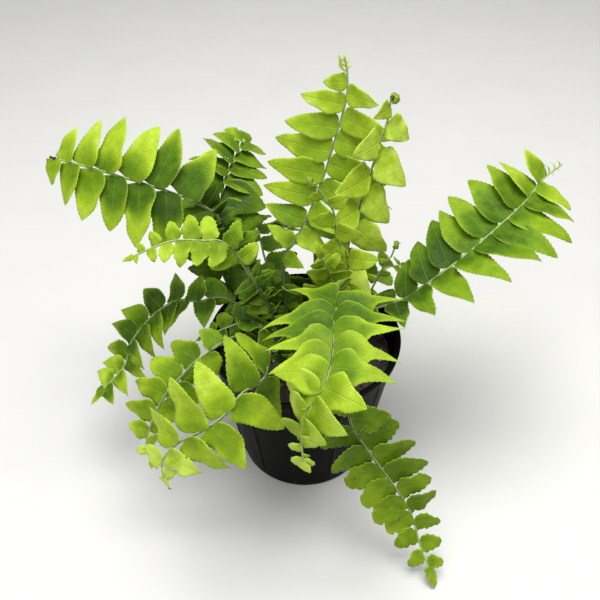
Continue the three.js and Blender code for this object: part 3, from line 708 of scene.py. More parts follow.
# How much of each shows on a leaf, and the step and slant of its side veins in millimetres
MOTTLE = 0.45
FLECK = 0.15
SIDE_VEIN_STEP = 1.35
SIDE_VEIN_SLANT = 0.75
SIDE_VEIN_SHOWS = 0.6
MIDDLE_VEIN_SHOWS = 0.32
EDGE_SHOWS = 0.4
UNDERSIDE_SHOWS = 0.35
LIGHT_THROUGH = 0.36


def leaf_material():
    """Leaf: tones mottled by noise, darker between veins that run out slantwise from the middle one,
    a thin pale edge, a duller underside, and light coming through."""
    n = Nodes("leaf_sheet")
    _, breadth, _ = n.axes("share")
    along, across, under = n.axes("run")
    from_vein = n.sum("ABSOLUTE", across)
    mottle = n.times(n.minus(n.noise(5, 4), 0.5), MOTTLE)
    fleck = n.times(n.minus(n.noise(0.7, 2), 0.5), FLECK)
    shifted = n.sum("ADD", n.plus(n.stored("tone"), mottle), fleck, clamp=True)
    colour = n.ramp(shifted, LEAF_TONES)

    slant = n.minus(along, n.times(from_vein, SIDE_VEIN_SLANT))
    side_vein = n.eased(n.sum("SINE", n.times(slant, 2 * math.pi / SIDE_VEIN_STEP)), 0.4, 1.0)
    middle_vein = n.minus(1.0, n.eased(from_vein, 0.1, 0.45))
    pale = n.mixed(0.3, colour, LEAF_VEIN)
    dark = n.mixed(1.0, colour, LEAF_BETWEEN_VEINS, "MULTIPLY")
    colour = n.mixed(n.times(side_vein, SIDE_VEIN_SHOWS), colour, dark)
    colour = n.mixed(n.times(middle_vein, MIDDLE_VEIN_SHOWS), colour, pale)
    edge = n.eased(n.sum("ABSOLUTE", breadth), 0.88, 1.0)
    colour = n.mixed(n.times(edge, EDGE_SHOWS), colour, LEAF_EDGE)
    colour = n.mixed(n.times(under, UNDERSIDE_SHOWS), colour, LEAF_UNDERSIDE)

    veins = n.plus(n.times(side_vein, -0.8), n.times(middle_vein, -1.2))
    bump = n.bump(0.7, 0.16, n.plus(veins, n.times(n.noise(1.3, 3), 1.2)))
    gloss = n.plus(0.42, n.times(n.noise(3, 3), 0.2))
    face = n.skin(bump, Base_Color=colour, Roughness=gloss, Specular_IOR_Level=0.15)
    through = n.mixed(0.5, colour, LEAF_LIT_THROUGH)
    back = n.add("BsdfTranslucent", {"Color": through, "Normal": bump})
    return n.finished(n.add("MixShader", {0: LIGHT_THROUGH, 1: face.outputs[0], 2: back.outputs[0]}))


def midrib_material():
    """Midrib: grey-green, browner and flecked with chaff towards its foot, green at its tip, with
    painted shade as a dark line along its groove, and near-black where it has died off."""
    n = Nodes("midrib_skin")
    age, _, _ = n.axes("share")
    _, upwards, dead = n.axes("run")
    mottle = n.noise(2.2, 4)
    old = n.mixed(mottle, (0.045, 0.055, 0.018), (0.11, 0.15, 0.045))
    young = n.mixed(mottle, (0.15, 0.21, 0.06), (0.32, 0.42, 0.13))
    colour = n.mixed(n.eased(age, 0.05, 0.6), old, young)
    # Painted shade: the top of the midrib, where its groove is, is darkened, near-black low down and dark
    # green near the tip
    dark = n.mixed(n.eased(age, 0.7, 0.95), (0.01, 0.014, 0.006), (0.2, 0.3, 0.05))
    colour = n.mixed(n.times(n.eased(upwards, 0.78, 0.95), 0.9), colour, dark)
    colour = n.mixed(n.eased(age, 1.0, 1.02), colour, (0.1, 0.17, 0.02))
    chaff = n.eased(n.noise(0.5, 2), 0.62, 0.7)
    colour = n.mixed(n.times(chaff, 0.75), colour, (0.06, 0.03, 0.012))
    colour = n.mixed(dead, colour, (0.012, 0.008, 0.005))
    return n.finished(n.skin(n.bump(0.5, 0.15, n.noise(0.6, 3)), Base_Color=colour, Roughness=0.5))


def water_material():
    """Water: clear and smooth, with the least ripple."""
    n = Nodes("water_drop")
    ripple = n.bump(0.1, 0.02, n.noise(0.8, 2))
    clear = (0.97, 1, 0.97, 1)
    return n.finished(n.skin(ripple, Base_Color=clear, Roughness=0.03, IOR=1.33, Transmission_Weight=1.0))


def pot_material():
    """Moulded black plastic: satin, with a dusting of dried mix that gathers low down, fine
    scratches that run round it, and a faint grain."""
    n = Nodes("pot_black_plastic")
    where = n.place()
    height = n.add("SeparateXYZ", {0: where}).outputs["Z"]
    low = n.minus(1.0, n.eased(height, 0.0, 0.03))
    dust = n.times(n.eased(n.noise(14, 4), 0.45, 0.8), n.plus(0.12, n.times(low, 0.4)))
    speck = n.eased(n.noise(0.8, 2), 0.7, 0.76)
    dust = n.sum("MAXIMUM", dust, n.times(speck, 0.35))
    colour = n.mixed(dust, (0.0012, 0.0012, 0.0012), (0.01, 0.009, 0.006))
    flat = n.add("Mapping", {"Vector": where, "Scale": (1, 1, 9)}).outputs[0]
    scratch = n.noise(2.5, 4, 0.7, flat)
    rough = n.plus(n.times(dust, 0.4), n.plus(0.3, n.times(scratch, 0.2)))
    bump = n.bump(0.25, 0.05, n.plus(n.noise(0.6, 2), n.times(scratch, 0.7)))
    return n.finished(n.skin(bump, Base_Color=colour, Roughness=rough, Specular_IOR_Level=0.2, IOR=1.2))


def mix_material():
    """Moist potting mix: near-black and brown crumbs, with paler fibres."""
    n = Nodes("potting_mix_crumb")
    colour = n.ramp(n.noise(1.6, 5, 0.65), [
        (0.3, (0.003, 0.002, 0.0015)),
        (0.5, (0.01, 0.006, 0.004)),
        (0.68, (0.03, 0.018, 0.011)),
        (0.8, (0.07, 0.048, 0.03)),
    ])
    return n.finished(n.skin(n.bump(0.9, 0.5, n.noise(0.9, 5, 0.7)), Base_Color=colour, Roughness=0.8))


def bark_material():
    """Bark and fibre: each bit its own brown, streaked along."""
    n = Nodes("mix_bark_brown")
    streak = n.noise(0.9, 4)
    colour = n.ramp(n.plus(n.times(n.stored("tone"), 0.7), n.times(streak, 0.3)), [
        (0.1, (0.008, 0.005, 0.004)),
        (0.45, (0.05, 0.026, 0.013)),
        (0.75, (0.14, 0.08, 0.04)),
        (1.0, (0.3, 0.2, 0.11)),
    ])
    return n.finished(n.skin(n.bump(0.7, 0.2, streak), Base_Color=colour, Roughness=0.78))


def perlite_material():
    """Perlite: off-white, pitted grains."""
    n = Nodes("mix_perlite_white")
    pits = n.noise(0.5, 3)
    colour = n.mixed(n.eased(pits, 0.3, 0.6), (0.35, 0.31, 0.25), (0.72, 0.7, 0.64))
    return n.finished(n.skin(n.bump(0.8, 0.2, pits), Base_Color=colour, Roughness=0.85))


def floor_material():
    """A plain pale floor with the least unevenness."""
    n = Nodes("floor_pale")
    colour = n.mixed(n.noise(60, 3), (0.46, 0.46, 0.45), (0.5, 0.5, 0.49))
    return n.finished(n.add("BsdfPrincipled", {"Base Color": colour, "Roughness": 0.7}))


# Midribs


class Route:
    """A smooth curve through points. Between two points it is the cubic whose slope at each is half
    the step between its neighbours; past each end one more point is mirrored. It is run along by
    share of its length, read from a table of short chords."""

    def __init__(self, points):
        p = np.array(points, float)
        self.points = np.vstack([2 * p[0] - p[1], p, 2 * p[-1] - p[-2]])
        self.spans = len(p) - 1
        self.marks = np.arange(CHORDS + 1) / CHORDS
        chords = np.linalg.norm(np.diff(self.at(self.marks), axis=0), axis=1)
        self.lengths = np.concatenate([[0], np.cumsum(chords)])
        self.length = self.lengths[-1]

    def at(self, mark):
        """The place at a mark, from 0 to 1, where each stretch between two points counts the same."""
        x = np.clip(mark, 0, 1) * self.spans
        span = np.minimum(np.floor(x).astype(int), self.spans - 1)
        w = (x - span)[..., None]
        a, b, c, d = (self.points[span + k] for k in range(4))
        slope_b = (c - a) / 2
        slope_c = (d - b) / 2
        square = 3 * (c - b) - 2 * slope_b - slope_c
        cube = 2 * (b - c) + slope_b + slope_c
        return b + slope_b * w + square * w**2 + cube * w**3

    def mark(self, share):
        """The mark at a share of the length."""
        return np.interp(np.asarray(share) * self.length, self.lengths, self.marks)

    def place(self, share):
        """The place at a share of the length."""
        return self.at(self.mark(share))

    def heading(self, share):
        """The unit vector along the curve, from just before a share of the length to just after."""
        mark = self.mark(share)
        after = self.at(np.minimum(mark + HEADING_STEP, 1))
        before = self.at(np.maximum(mark - HEADING_STEP, 0))
        return unit(after - before)


def face_at(frond, share):
    """The way a frond's upper face looks: from its first pair's way evenly to its last pair's."""
    grown = min(max((share - frond["bare"]) / (frond["end"] - frond["bare"]), 0), 1)
    return unit(blend(unit(frond["face"]), unit(frond["face_end"] or frond["face"]), grown))


def frame_at(plant, share):
    """Place on the midrib, and unit vectors along it, out of its upper face, and to its right."""
    along = plant["route"].heading(share)
    face = face_at(plant["frond"], share)
    up = unit(face - along * (along @ face))
    return plant["route"].place(share), along, up, np.cross(along, up)


# Leaflets


def draws(seed):
    """Seeded draws between -1 and 1: each state is the last one times 1664525 plus 1013904223,
    kept below 2^32."""
    state = seed
    while True:
        state = (state * 1664525 + 1013904223) % 2**32
        yield 2 * state / 2**32 - 1


def length_share(frond, along):
    """A leaflet's length as a share of the longest: a quarter sine up to the peak, then a quarter
    cosine down to the last pair."""
    first, peak, last = frond["first"], frond["peak"], frond["last"]
    if along < peak:
        return first + (1 - first) * math.sin(math.pi / 2 * along / peak)
    return last + (1 - last) * math.cos(math.pi / 2 * (along - peak) / (1 - peak))


def blade(frond, **own):
    """A leaflet's values: its own, and what a full-sized one that stands free has."""
    usual = dict(frond=frond, rise=frond["rise"], small=False, bud=False, fresh=1, plump=1, bend=0, short=1)
    return {**usual, **own}


def leaflet(plant, share, side, angle, length, width, point, lift):
    """A leaflet beside the midrib: where it starts, its directions out and across, and its size."""
    place, along, up, right = frame_at(plant, share)
    turn = math.radians(angle)
    flat = along * math.cos(turn) + right * side * math.sin(turn)
    across = along - flat * (along @ flat)
    across = right if np.linalg.norm(across) < NEARLY_NONE else unit(across)
    beside = right * side if angle else 0 * right
    return blade(plant["frond"], share=share, place=place, flat=flat, across=across, up=up, beside=beside,
                 length=length, width=width, point=point, lift=lift)


def leaflets_of(plant):
    """A frond's leaflets: its pairs, whose width follows their length share by a part and is kept
    under a share of their own length, then its tip, then its unopened buds."""
    frond = plant["frond"]
    draw = draws(frond["seed"])
    found = []
    for pair in range(frond["pairs"]):
        for side in (1, -1):
            along = ((pair + (0.5 if side < 0 else 0)) / (frond["pairs"] - 0.5)) ** CROWDING
            share = blend(frond["bare"], frond["end"], along)
            size = length_share(frond, along)
            splay = frond["splay"] if pair == 0 else 0
            angle = blend(*frond["angle"], along) + splay + ANGLE_SPREAD * next(draw)
            length = frond["leaf"] * size * (1 + LENGTH_SPREAD * next(draw))
            full = frond["wide"] * blend(LEAST_WIDE, 1, size) * (1 + WIDTH_SPREAD * next(draw))
            width = min(full, MOST_WIDTH_SHARE * length)
            lift = frond["lift"] + LIFT_SPREAD * next(draw)
            point = blend(*frond["point"], along)
            found.append(leaflet(plant, share, side, angle, length, width, point, lift))
    if frond["tip"]:
        length = TIP_LENGTH_SHARE * frond["leaf"] * frond["last"] + TIP_LONGER
        width = TIP_WIDTH_SHARE * length
        found.append(leaflet(plant, TIP_AT, 1, 0, length, width, frond["point"][1], 0))
    for bud in range(frond["buds"]):
        share = blend(frond["end"], 1, BUD_START + BUD_SPAN * bud / frond["buds"])
        side = 1 if bud % 2 else -1
        length = BUD_LENGTH - BUD_SHORTER * bud
        found.append(leaflet(plant, share, side, BUD_ANGLE, length, BUD_WIDTH, BUD_POINT, BUD_LIFT))
        found[-1].update(bud=True, side=side)
    return found


def stalk_leaflets(plant, rng):
    """Small rounded leaflets low on the stalk, at even steps, each twisted about itself at random."""
    length = plant["route"].length
    count = int((plant["frond"]["bare"] * length - STALK_CLEAR - STALK_END_CLEAR) / STALK_STEP)
    found = []
    for k in range(count):
        share = (STALK_CLEAR + (k + rng.uniform(*STALK_SHAKE)) * STALK_STEP) / length
        size = blend(*STALK_LEAFLETS, k / count) * rng.uniform(*STALK_SIZE)
        side = 1 if k % 2 else -1
        width = rng.uniform(*STALK_WIDTH) * size
        point = rng.uniform(*STALK_POINT)
        angle = rng.uniform(*STALK_ANGLE)
        leaf = leaflet(plant, share, side, angle, size, width, point, rng.uniform(*STALK_LIFT))
        twist = math.radians(rng.uniform(*STALK_TWIST))
        across, up = leaf["across"], leaf["up"]
        # Their tone is scaled down: partly older growth, partly painted shade deep in the crown
        leaf.update(across=turned(across, up, twist), up=turned(up, across, -twist), small=True,
                    fresh=STALK_TONE_AGE_AND_SHADE)
        found.append(leaf)
    return found


def half_width(leaf, s):
    """Half a leaflet's width at share s of its length: a power of s up to the peak, and the
    leaflet's own power of what is left down to its point."""
    peak = leaf["rise"] / (leaf["rise"] + leaf["point"])
    rise = (np.maximum(s, 1e-6) / peak) ** leaf["rise"]
    fall = (np.maximum(1 - s, 0) / (1 - peak)) ** leaf["point"]
    return 0.5 * leaf["width"] * rise * fall


def directions(leaf, bend):
    """Unit vectors of a leaflet: out from the midrib, across, and out of its upper face. A lift
    turns it about its foot, and all leaflets are turned a little about their length."""
    lift = math.radians(leaf["lift"] + bend)
    out = turned(leaf["flat"], leaf["up"], lift)
    upright = turned(leaf["up"], leaf["flat"], -lift)
    return out, turned(leaf["across"], upright, -LOUVRE), turned(upright, leaf["across"], LOUVRE)


def ears(s, t):
    """How much wider a leaflet is near its foot on the side of the frond's tip, and narrower on the
    other: a bell curve of s each."""
    wider = EAR_WIDER * np.exp(-((s / EAR_WIDER_REACH) ** 2))
    narrower = EAR_NARROWER * np.exp(-((s / EAR_NARROWER_REACH) ** 2))
    return 1 + np.where(t > 0, wider, -narrower)


def plain_sheet(leaf, s, t, bend, short):
    """Points of the plain sheet that the part's source gives a leaflet: straight out, swept and
    drooped by the square of s."""
    out, across, normal = directions(leaf, bend)
    length = leaf["length"] * short
    half = np.maximum(half_width(leaf, s) * short * ears(s, t), END_HALF)
    return (leaf["place"] + out * (length * s)[..., None]
            + across * (length * leaf["frond"]["sweep"] * s**2 + t * half)[..., None]
            - normal * (length * DROOP * s**2)[..., None])


def in_pot(p):
    """Whether points lie in or close to the pot's wall, the mix or the ground."""
    radius = np.hypot(p[:, 0], p[:, 1])
    wall = wall_radius(p[:, 2])
    low = p[:, 2] < GROUND_KEEP_AWAY
    beside_pot = p[:, 2] < POT_HEIGHT + RIM_KEEP_AWAY
    at_wall = beside_pot & (np.abs(radius - wall) < POT_WALL + POT_KEEP_AWAY)
    in_mix = (radius < wall) & (p[:, 2] < MIX_EDGE_Z + MIX_KEEP_AWAY)
    return (low | at_wall | in_mix).any()


def find_room(leaf, others, reach, spots, keep_away, shortenings):
    """Gives a leaflet the first shortening and bend that keep its spots away from all other points
    within reach and from the pot. The spots' points, or None where no bend is enough."""
    near = others[np.linalg.norm(others - leaf["place"], axis=1) < reach]
    s, t = np.meshgrid(*spots, indexing="ij")
    for short, bend in [(a, b) for a in shortenings for b in BENDS]:
        points = plain_sheet(leaf, s, t, bend, short).reshape(-1, 3)
        gaps = np.linalg.norm(points[:, None] - near[None], axis=2)
        if in_pot(points) or (gaps < keep_away).any():
            continue
        leaf.update(bend=bend, short=short)
        return points
    return None


def settle(plants):
    """Bends each leaflet clear of the midribs and earlier leaflets of other fronds, shortens it
    where bending isn't enough, and leaves it out where that isn't either. What it returns is all
    midribs' points, one entry for each frond, and then those of the leaflets."""
    marks = []
    for number, plant in enumerate(plants):
        steps = math.ceil(plant["route"].length / JUDGE_STEP)
        marks.append((number, plant["route"].place(np.arange(steps + 1) / steps)))
    for number, plant in enumerate(plants):
        others = np.concatenate([points for owner, points in marks if owner != number])
        kept = []
        for leaf in plant["leaves"]:
            reach = leaf["length"] + leaf["width"] + KEEP_AWAY
            points = find_room(leaf, others, reach, JUDGED, KEEP_AWAY, SHORTENINGS)
            if points is not None:
                kept.append(leaf)
                marks.append((number, points))
        plant["leaves"] = kept
    return marks


def fill_stalks(plants, marks):
    """Adds to each frond those leaflets of its stalk that find room, bent if need be, among all
    leaflets and the midribs of other fronds."""
    for number, plant in enumerate(plants):
        rng = np.random.default_rng(STALKS_SEED + plant["frond"]["seed"])
        for leaf in stalk_leaflets(plant, rng):
            others = np.concatenate([points for k, (_, points) in enumerate(marks) if k != number])
            points = find_room(leaf, others, 2 * leaf["length"], STALK_JUDGED, STALK_KEEP_AWAY, [1])
            if points is not None:
                plant["leaves"].append(leaf)
                marks.append((number, points))


def fine_sheet(leaf, s, t, habit):
    """Points of a leaflet's middle surface. To the plain sheet it adds: a scalloped edge, by the
    rooted sine of teeth counted along s; an outline that is plumper, swells and narrows by a slow
    sine on each side, tapers evenly with s and past its notch narrows to a tail, but is cut off
    where it would cross the frond's midrib; a fold along the middle vein that flattens towards the
    tip; a wave that grows with the square of t; a roll that grows with s, less a lean to one side;
    a turn, a dip and a curled tip that grow with powers of s."""
    out, across, normal = directions(leaf, leaf["bend"])
    frond = leaf["frond"]
    length = leaf["length"] * leaf["short"]
    half = np.maximum(half_width(leaf, s) * leaf["short"] * ears(s, t), blend(*LEAST_HALF, s))
    beat = habit["phase"] + np.where(t > 0, 0, habit["shift"])
    half = half * (1 + habit["uneven"] * np.sin(2 * math.pi * (habit["swells"] * s + beat)))
    tail = 1 - habit["tail"] * ease(s, habit["notch"], habit["notch"] + TAIL_SPAN)
    half = half * leaf["plump"] * tail * (1 - frond["taper"] * s)
    count = math.pi * habit["teeth"] * s + np.where(t > 0, 0, TOOTH_SHIFT)
    scallop = np.abs(np.sin(count)) ** TOOTH_ROOT - TOOTH_LEVEL
    depth = habit["tooth"] * ease(s, *TOOTH_SPAN) * np.minimum(1, half / TOOTH_FULL_HALF)
    reach = t * half + np.sign(t) * np.abs(t) ** TOOTH_EDGE * scallop * depth
    slant = across @ leaf["beside"]
    if abs(slant) > LEAST_SLANT:
        edge = -(MIDRIB_LAP + out @ leaf["beside"] * length * s) / slant
        reach = np.maximum(reach, edge) if slant > 0 else np.minimum(reach, edge)
    fold = FOLD * habit["fold"] * np.abs(t) * half * (1 - FOLD_FLATTENS * s)
    wave = habit["wave"] * np.sin(2 * math.pi * (habit["waves"] * s + beat))
    leaning = np.sin(habit["roll"] * s) - habit["lean"] * ease(s, *LEAN_SPAN)
    lifted = fold + wave * t**2 * ease(s, *WAVE_SPAN) + reach * leaning
    dip = length * (DROOP + habit["dip"] * s + habit["curl"] * s**4) * s**2
    swept = length * ((frond["sweep"] + habit["sweep"]) * s**2 + habit["turn"] * s)
    return (leaf["place"] + out * (length * s)[..., None] + across * (swept + reach)[..., None]
            + normal * (lifted - dip)[..., None]), normal, reach


def habit_of(leaf, rng):
    """How one leaflet differs from the rule: its teeth, its swelling outline, fold, waves, roll,
    dip, curled tip, sweep and turn. Small leaflets have finer teeth and waves. Where a frond is
    less loose than usual, its leaflets differ less and all lean by a share of what is missing. The
    tail comes in as a leaflet gets more pointed."""
    if leaf["bud"]:
        return BUD_HABIT
    frond = leaf["frond"]
    length = leaf["length"] * leaf["short"]
    fine = min(1, length / WAVE_FULL_LENGTH)
    loose = 1 if leaf["small"] else frond["loose"]
    depth, step = frond["teeth"]
    return dict(
        teeth=max(FEWEST_TEETH, round(length / step)),
        tooth=depth * fine,
        uneven=rng.uniform(*frond["uneven"]),
        swells=rng.uniform(*SWELLS),
        shift=rng.uniform(*SWELL_SHIFT),
        fold=FOLD_USUAL + loose * rng.uniform(*FOLD_RANGE),
        wave=rng.uniform(*WAVE) * fine * loose,
        waves=rng.uniform(*WAVES),
        phase=rng.uniform(),
        roll=loose * rng.uniform(*ROLL),
        dip=DIP_USUAL + loose * rng.uniform(*DIP_RANGE),
        curl=rng.uniform(*TIP_CURL),
        sweep=rng.uniform(*SWEEP),
        turn=rng.uniform(*TURN),
        lean=LEAN * (1 - loose),
        tail=frond["tail"] * ease(leaf["point"], *TAIL_POINTS),
        notch=rng.uniform(*NOTCH),
    )


def there_and_back(values):
    """Rows of values, each followed by itself backwards, in one line."""
    return np.concatenate([values, values[:, ::-1]], axis=1).ravel()


def add_leaflet(body, leaf, rng):
    """A leaflet as a closed sheet: its middle surface moved half its thickness up and down, thinner
    towards the edge. Full-sized ones are plumper by the square of how far along the frond they
    stand. The tone passes from the foot's to the tip's over a band of its own, and both pass from
    the first pair's to the last's by a power of how far along the frond the leaflet stands."""
    frond = leaf["frond"]
    length = leaf["length"] * leaf["short"]
    grown = np.clip((leaf["share"] - frond["bare"]) / (1 - frond["bare"]), 0, 1)
    if not leaf["small"]:
        leaf["plump"] = blend(*frond["plump"], grown**2)
    habit = leaf["habit"] = habit_of(leaf, rng)
    fine = length > FINE_LENGTH and not leaf["small"]
    columns = FINE_COLUMNS if fine else PLAIN_COLUMNS
    rows = habit["teeth"] * (FINE_ROWS_PER_TOOTH if fine else PLAIN_ROWS_PER_TOOTH) + 1
    s, t = np.meshgrid(np.linspace(0, 1, rows), columns, indexing="ij")
    middle, normal, reach = fine_sheet(leaf, s, t, habit)
    upward = np.cross(np.gradient(middle, axis=0), np.gradient(middle, axis=1))
    upward = unit(upward + 1e-9 * normal)
    turned_over = (upward[rows // 2, len(columns) // 2] @ normal) < 0
    upward = -upward if turned_over else upward
    share_thick = min(1, length / FULL_THICK_LENGTH)
    thick = share_thick * blend(BLADE_THICK, EDGE_THICK, np.abs(t) ** 4)[..., None] / 2
    ring = np.concatenate([middle + upward * thick, (middle - upward * thick)[:, ::-1]], axis=1)
    under = np.concatenate([np.zeros(t.shape), np.ones(t.shape)], axis=1).ravel()
    foot_first, tip_first, foot_last, tip_last = frond["tone"]
    foot_tone = blend(foot_first, foot_last, grown**TONE_POWER)
    tip_tone = blend(tip_first, tip_last, grown**TONE_POWER)
    start = rng.uniform(*BAND_START)
    band = ease(s + BAND_BOW * t**2 - BAND_LAG, start, start + rng.uniform(*BAND_WIDTH))
    # The tone factor is lower for crozier scales, and for stalk leaflets, whose darker tone is partly
    # painted shade
    tone = leaf["fresh"] * blend(foot_tone, tip_tone, band) + rng.uniform(*TONE_RANGE)
    body.add(
        ring, shell_faces(rows, 2 * len(columns), flipped=not turned_over),
        share=triples(there_and_back(s), there_and_back(t), leaf["share"]),
        run=triples(there_and_back(length * s), there_and_back(reach), under),
        tone=there_and_back(tone),
    )


def spiral(plant):
    """The rolled tip of an unopened frond: points round a centre that lies out of the midrib's
    upper face, at a distance that shrinks evenly with the turn."""
    place, along, up, _ = frame_at(plant, 1)
    size = plant["frond"]["curl"]
    step = np.arange(1, CURL_STEPS + 1) / CURL_STEPS
    turn = (step * CURL_TURNS) * 2 * math.pi
    reach = size * (1 - CURL_SHRINK * step)
    outward = up * np.cos(math.pi - turn)[:, None] + along * np.sin(math.pi - turn)[:, None]
    return place + up * size + outward * reach[:, None]


def untwisted(along, face, start):
    """Unit vectors square to a line's headings: at start the one nearest to face, and from there
    both ways each the last one, made square to the next heading."""
    up = np.zeros_like(along)
    up[start] = unit(face - along[start] * (along[start] @ face))
    for i in range(start + 1, len(up)):
        up[i] = unit(up[i - 1] - along[i] * (along[i] @ up[i - 1]))
    for i in range(start - 1, -1, -1):
        up[i] = unit(up[i + 1] - along[i] * (along[i] @ up[i + 1]))
    return up


def add_midrib(body, plant):
    """The midrib: rings round its route, and round its rolled tip where it has one, slimmer towards
    the tip, with a bell-shaped groove along the upper side."""
    frond = plant["frond"]
    route = plant["route"]
    steps = math.ceil(route.length / MIDRIB_STEP)
    shares = np.arange(steps + 1) / steps
    centres = route.place(shares)
    if frond["curl"]:
        centres = np.vstack([centres, spiral(plant)])
        shares = np.concatenate([shares, np.linspace(1, 1 + CURL_SPAN, CURL_STEPS)])
    along = unit(np.gradient(centres, axis=0))
    up = untwisted(along, unit(frond["face"]), int(np.searchsorted(shares, frond["bare"])))
    side = np.cross(up, along)
    angle = angles_round(MIDRIB_SIDES)
    groove = 1 - GROOVE_DEPTH * np.exp(-(((angle - math.pi / 2) / GROOVE_HALF_ANGLE) ** 2))
    foot, tip = frond["rib"]
    thin = MIDRIB_SLIM * blend(foot, tip * MIDRIB_TIP_SLIM, np.minimum(shares, 1))
    thin = thin * np.where(shares > 1, blend(*CURL_THICK, (shares - 1) / CURL_SPAN), 1)
    thin[-1] *= MIDRIB_END_SLIM
    ring = thin[:, None] * groove
    points = (centres[:, None] + side[:, None] * (ring * np.cos(angle))[..., None]
              + up[:, None] * (ring * np.sin(angle))[..., None])
    dead = ease(shares, *DEAD_SPAN) * frond["dried"]
    share = triples(shares[:, None], 0 * angle, 0)
    run = triples((shares * route.length)[:, None], np.sin(angle), dead[:, None])
    body.add(points, shell_faces(len(centres), MIDRIB_SIDES), 1, share=share.reshape(-1, 3),
             run=run.reshape(-1, 3), tone=0.5)


def add_scales(body, plant, rng):
    """Tiny leaflets that are still rolled up with the tip: pairs along the spiral, pointing along
    it and out to its sides, and shorter towards its middle."""
    frond = plant["frond"]
    rolled = spiral(plant)
    _, _, up, right = frame_at(plant, 1)
    middle = plant["route"].place(1) + up * frond["curl"]
    tangent = unit(np.gradient(rolled, axis=0))
    least, most = SCALE_SPREAD
    for i in range(0, len(rolled) - 1, 2):
        outward = unit(rolled[i] - middle)
        spread = least + (most - least) * abs(outward @ up)
        for side in (1, -1):
            flat = unit(tangent[i] + side * spread * right)
            across = unit(side * right - flat * (flat @ right) * side)
            length = SCALE_LENGTH * frond["curl"] * blend(*SCALE_LENGTHS, i / len(rolled))
            leaf = blade(frond, place=rolled[i], flat=flat, across=across, up=outward, beside=0 * right,
                         length=length, width=SCALE_WIDTH * length, **SCALE_SHAPE)
            add_leaflet(body, leaf, rng)


def end_lobes(plant):
    """Small rounded leaflets, not yet apart, at a midrib's very end."""
    return [leaflet(plant, share, side, angle, length, LOBE_WIDTH_SHARE * length, LOBE_POINT, LOBE_LIFT)
            for share, side, angle, length in plant["frond"]["lobes"]]


def add_dried_tip(body, plant, rng):
    """The shrivelled end of a frond: a few dark lumps about the midrib's end."""
    for share, size in DRIED_LUMPS:
        place = plant["route"].place(share) + rng.normal(0, DRIED_SHAKE, 3)
        add_lump(body, rng, place, size * DRIED_SHAPE, kind=1, tone=0, share=np.array([[share, 0, 0]]),
                 run=np.array([[0, 0, 1]]))


def grow(plants, materials):
    """Makes each frond one piece of leaflets and midrib, in place of its node."""
    for plant in plants:
        frond = plant["frond"]
        body = Body()
        rng = np.random.default_rng(frond["seed"])
        add_midrib(body, plant)
        if frond["dried"]:
            add_dried_tip(body, plant, rng)
        if frond["curl"]:
            add_scales(body, plant, rng)
        for leaf in plant["leaves"] + end_lobes(plant):
            if leaf["bud"]:
                leaf.update(BUD_SHAPE)
                leaf["short"] *= BUD_SHORT[leaf["side"]]
            add_leaflet(body, leaf, rng)
        piece = body.made("fern_" + frond["name"], materials)
        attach(piece, "root")
        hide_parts("frond_" + frond["name"])


def add_drop(body, leaf, s, t, radius):
    """A drop of water: a flattened ball that sits on a leaflet's upper face, which is found from
    three points close together."""
    s, t = np.meshgrid([s, s + DROP_PROBE[0]], [t, t + DROP_PROBE[1]], indexing="ij")
    points, normal, _ = fine_sheet(leaf, s, t, leaf["habit"])
    up = unit(np.cross(points[1, 0] - points[0, 0], points[0, 1] - points[0, 0]))
    up = up if up @ normal > 0 else -up
    side = unit(np.cross(up, DROP_TURN))
    polar = np.linspace(DROP_POLE, math.pi - DROP_POLE, DROP_RINGS)[:, None, None]
    angle = angles_round(DROP_SIDES)[None, :, None]
    ball = (np.sin(polar) * (np.cos(angle) * side + np.sin(angle) * np.cross(up, side))
            + DROP_FLAT * np.cos(polar) * up)
    body.add(points[0, 0] + up * (BLADE_THICK / 2 + DROP_SUNK * radius) + radius * ball,
             shell_faces(DROP_RINGS, DROP_SIDES, flipped=True))


def make_drops(plants):
    """Water drops on the leaflets of the fronds that are named in WET."""
    body = Body()
    rng = np.random.default_rng(DROPS_SEED)
    for plant in plants:
        low, high, most = WET.get(plant["frond"]["name"], (0, 0, 0))
        for leaf in plant["leaves"]:
            if low <= leaf["share"] <= high and not leaf["bud"]:
                for _ in range(rng.integers(0, most + 1)):
                    s, t, radius = (rng.uniform(*span) for span in (DROP_ALONG, DROP_ACROSS, DROP_RADIUS))
                    add_drop(body, leaf, s, t, radius)
    piece = body.made("water_drops", [water_material()])
    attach(piece, "root")


# The pot and the mix


def wall_radius(z):
    """The pot's outside radius at height z: a straight taper."""
    return POT_BASE_RADIUS + (POT_RIM_RADIUS - RIM_BAND_PROUD - POT_BASE_RADIUS) / POT_HEIGHT * z


def revolved(body, profile, columns, bulge):
    """A profile of (radius, height) rows turned once round the axis, with the pole at each end
    closed by triangles. bulge gives what is added to the radius, by row and angle."""
    profile = np.array(profile, float)
    angle = angles_round(columns)
    radius = profile[1:-1, 0][:, None] + bulge(profile[1:-1, 1], angle)
    rings = round_axis(radius, angle, profile[1:-1, 1][:, None])
    quads, _ = shell_faces(len(rings), columns)
    i = np.arange(columns)
    following = (i + 1) % columns
    bottom = len(rings) * columns
    last = bottom - columns
    fans = np.concatenate([triples(bottom, following, i), triples(bottom + 1, last + i, last + following)])
    poles = [(0, 0, profile[0, 1]), (0, 0, profile[-1, 1])]
    body.add(np.vstack([rings.reshape(-1, 3), poles]), [quads, fans])


def rounded(corners, radius, steps=4):
    """A profile through corners, each rounded by an arc-like curve: the quadratic curve between
    points radius before and after it, or less where the next corner is too near for that."""
    corners = np.array(corners, float)
    points = [corners[0]]
    for before, corner, after in zip(corners, corners[1:], corners[2:]):
        shorter = min(np.linalg.norm(corner - before), np.linalg.norm(after - corner))
        reach = min(radius, MOST_ROUNDING_SHARE * shorter)
        a = corner + unit(before - corner) * reach
        b = corner + unit(after - corner) * reach
        for w in np.linspace(0, 1, steps):
            points.append((1 - w) ** 2 * a + 2 * w * (1 - w) * corner + w**2 * b)
    return np.array([*points, corners[-1]])


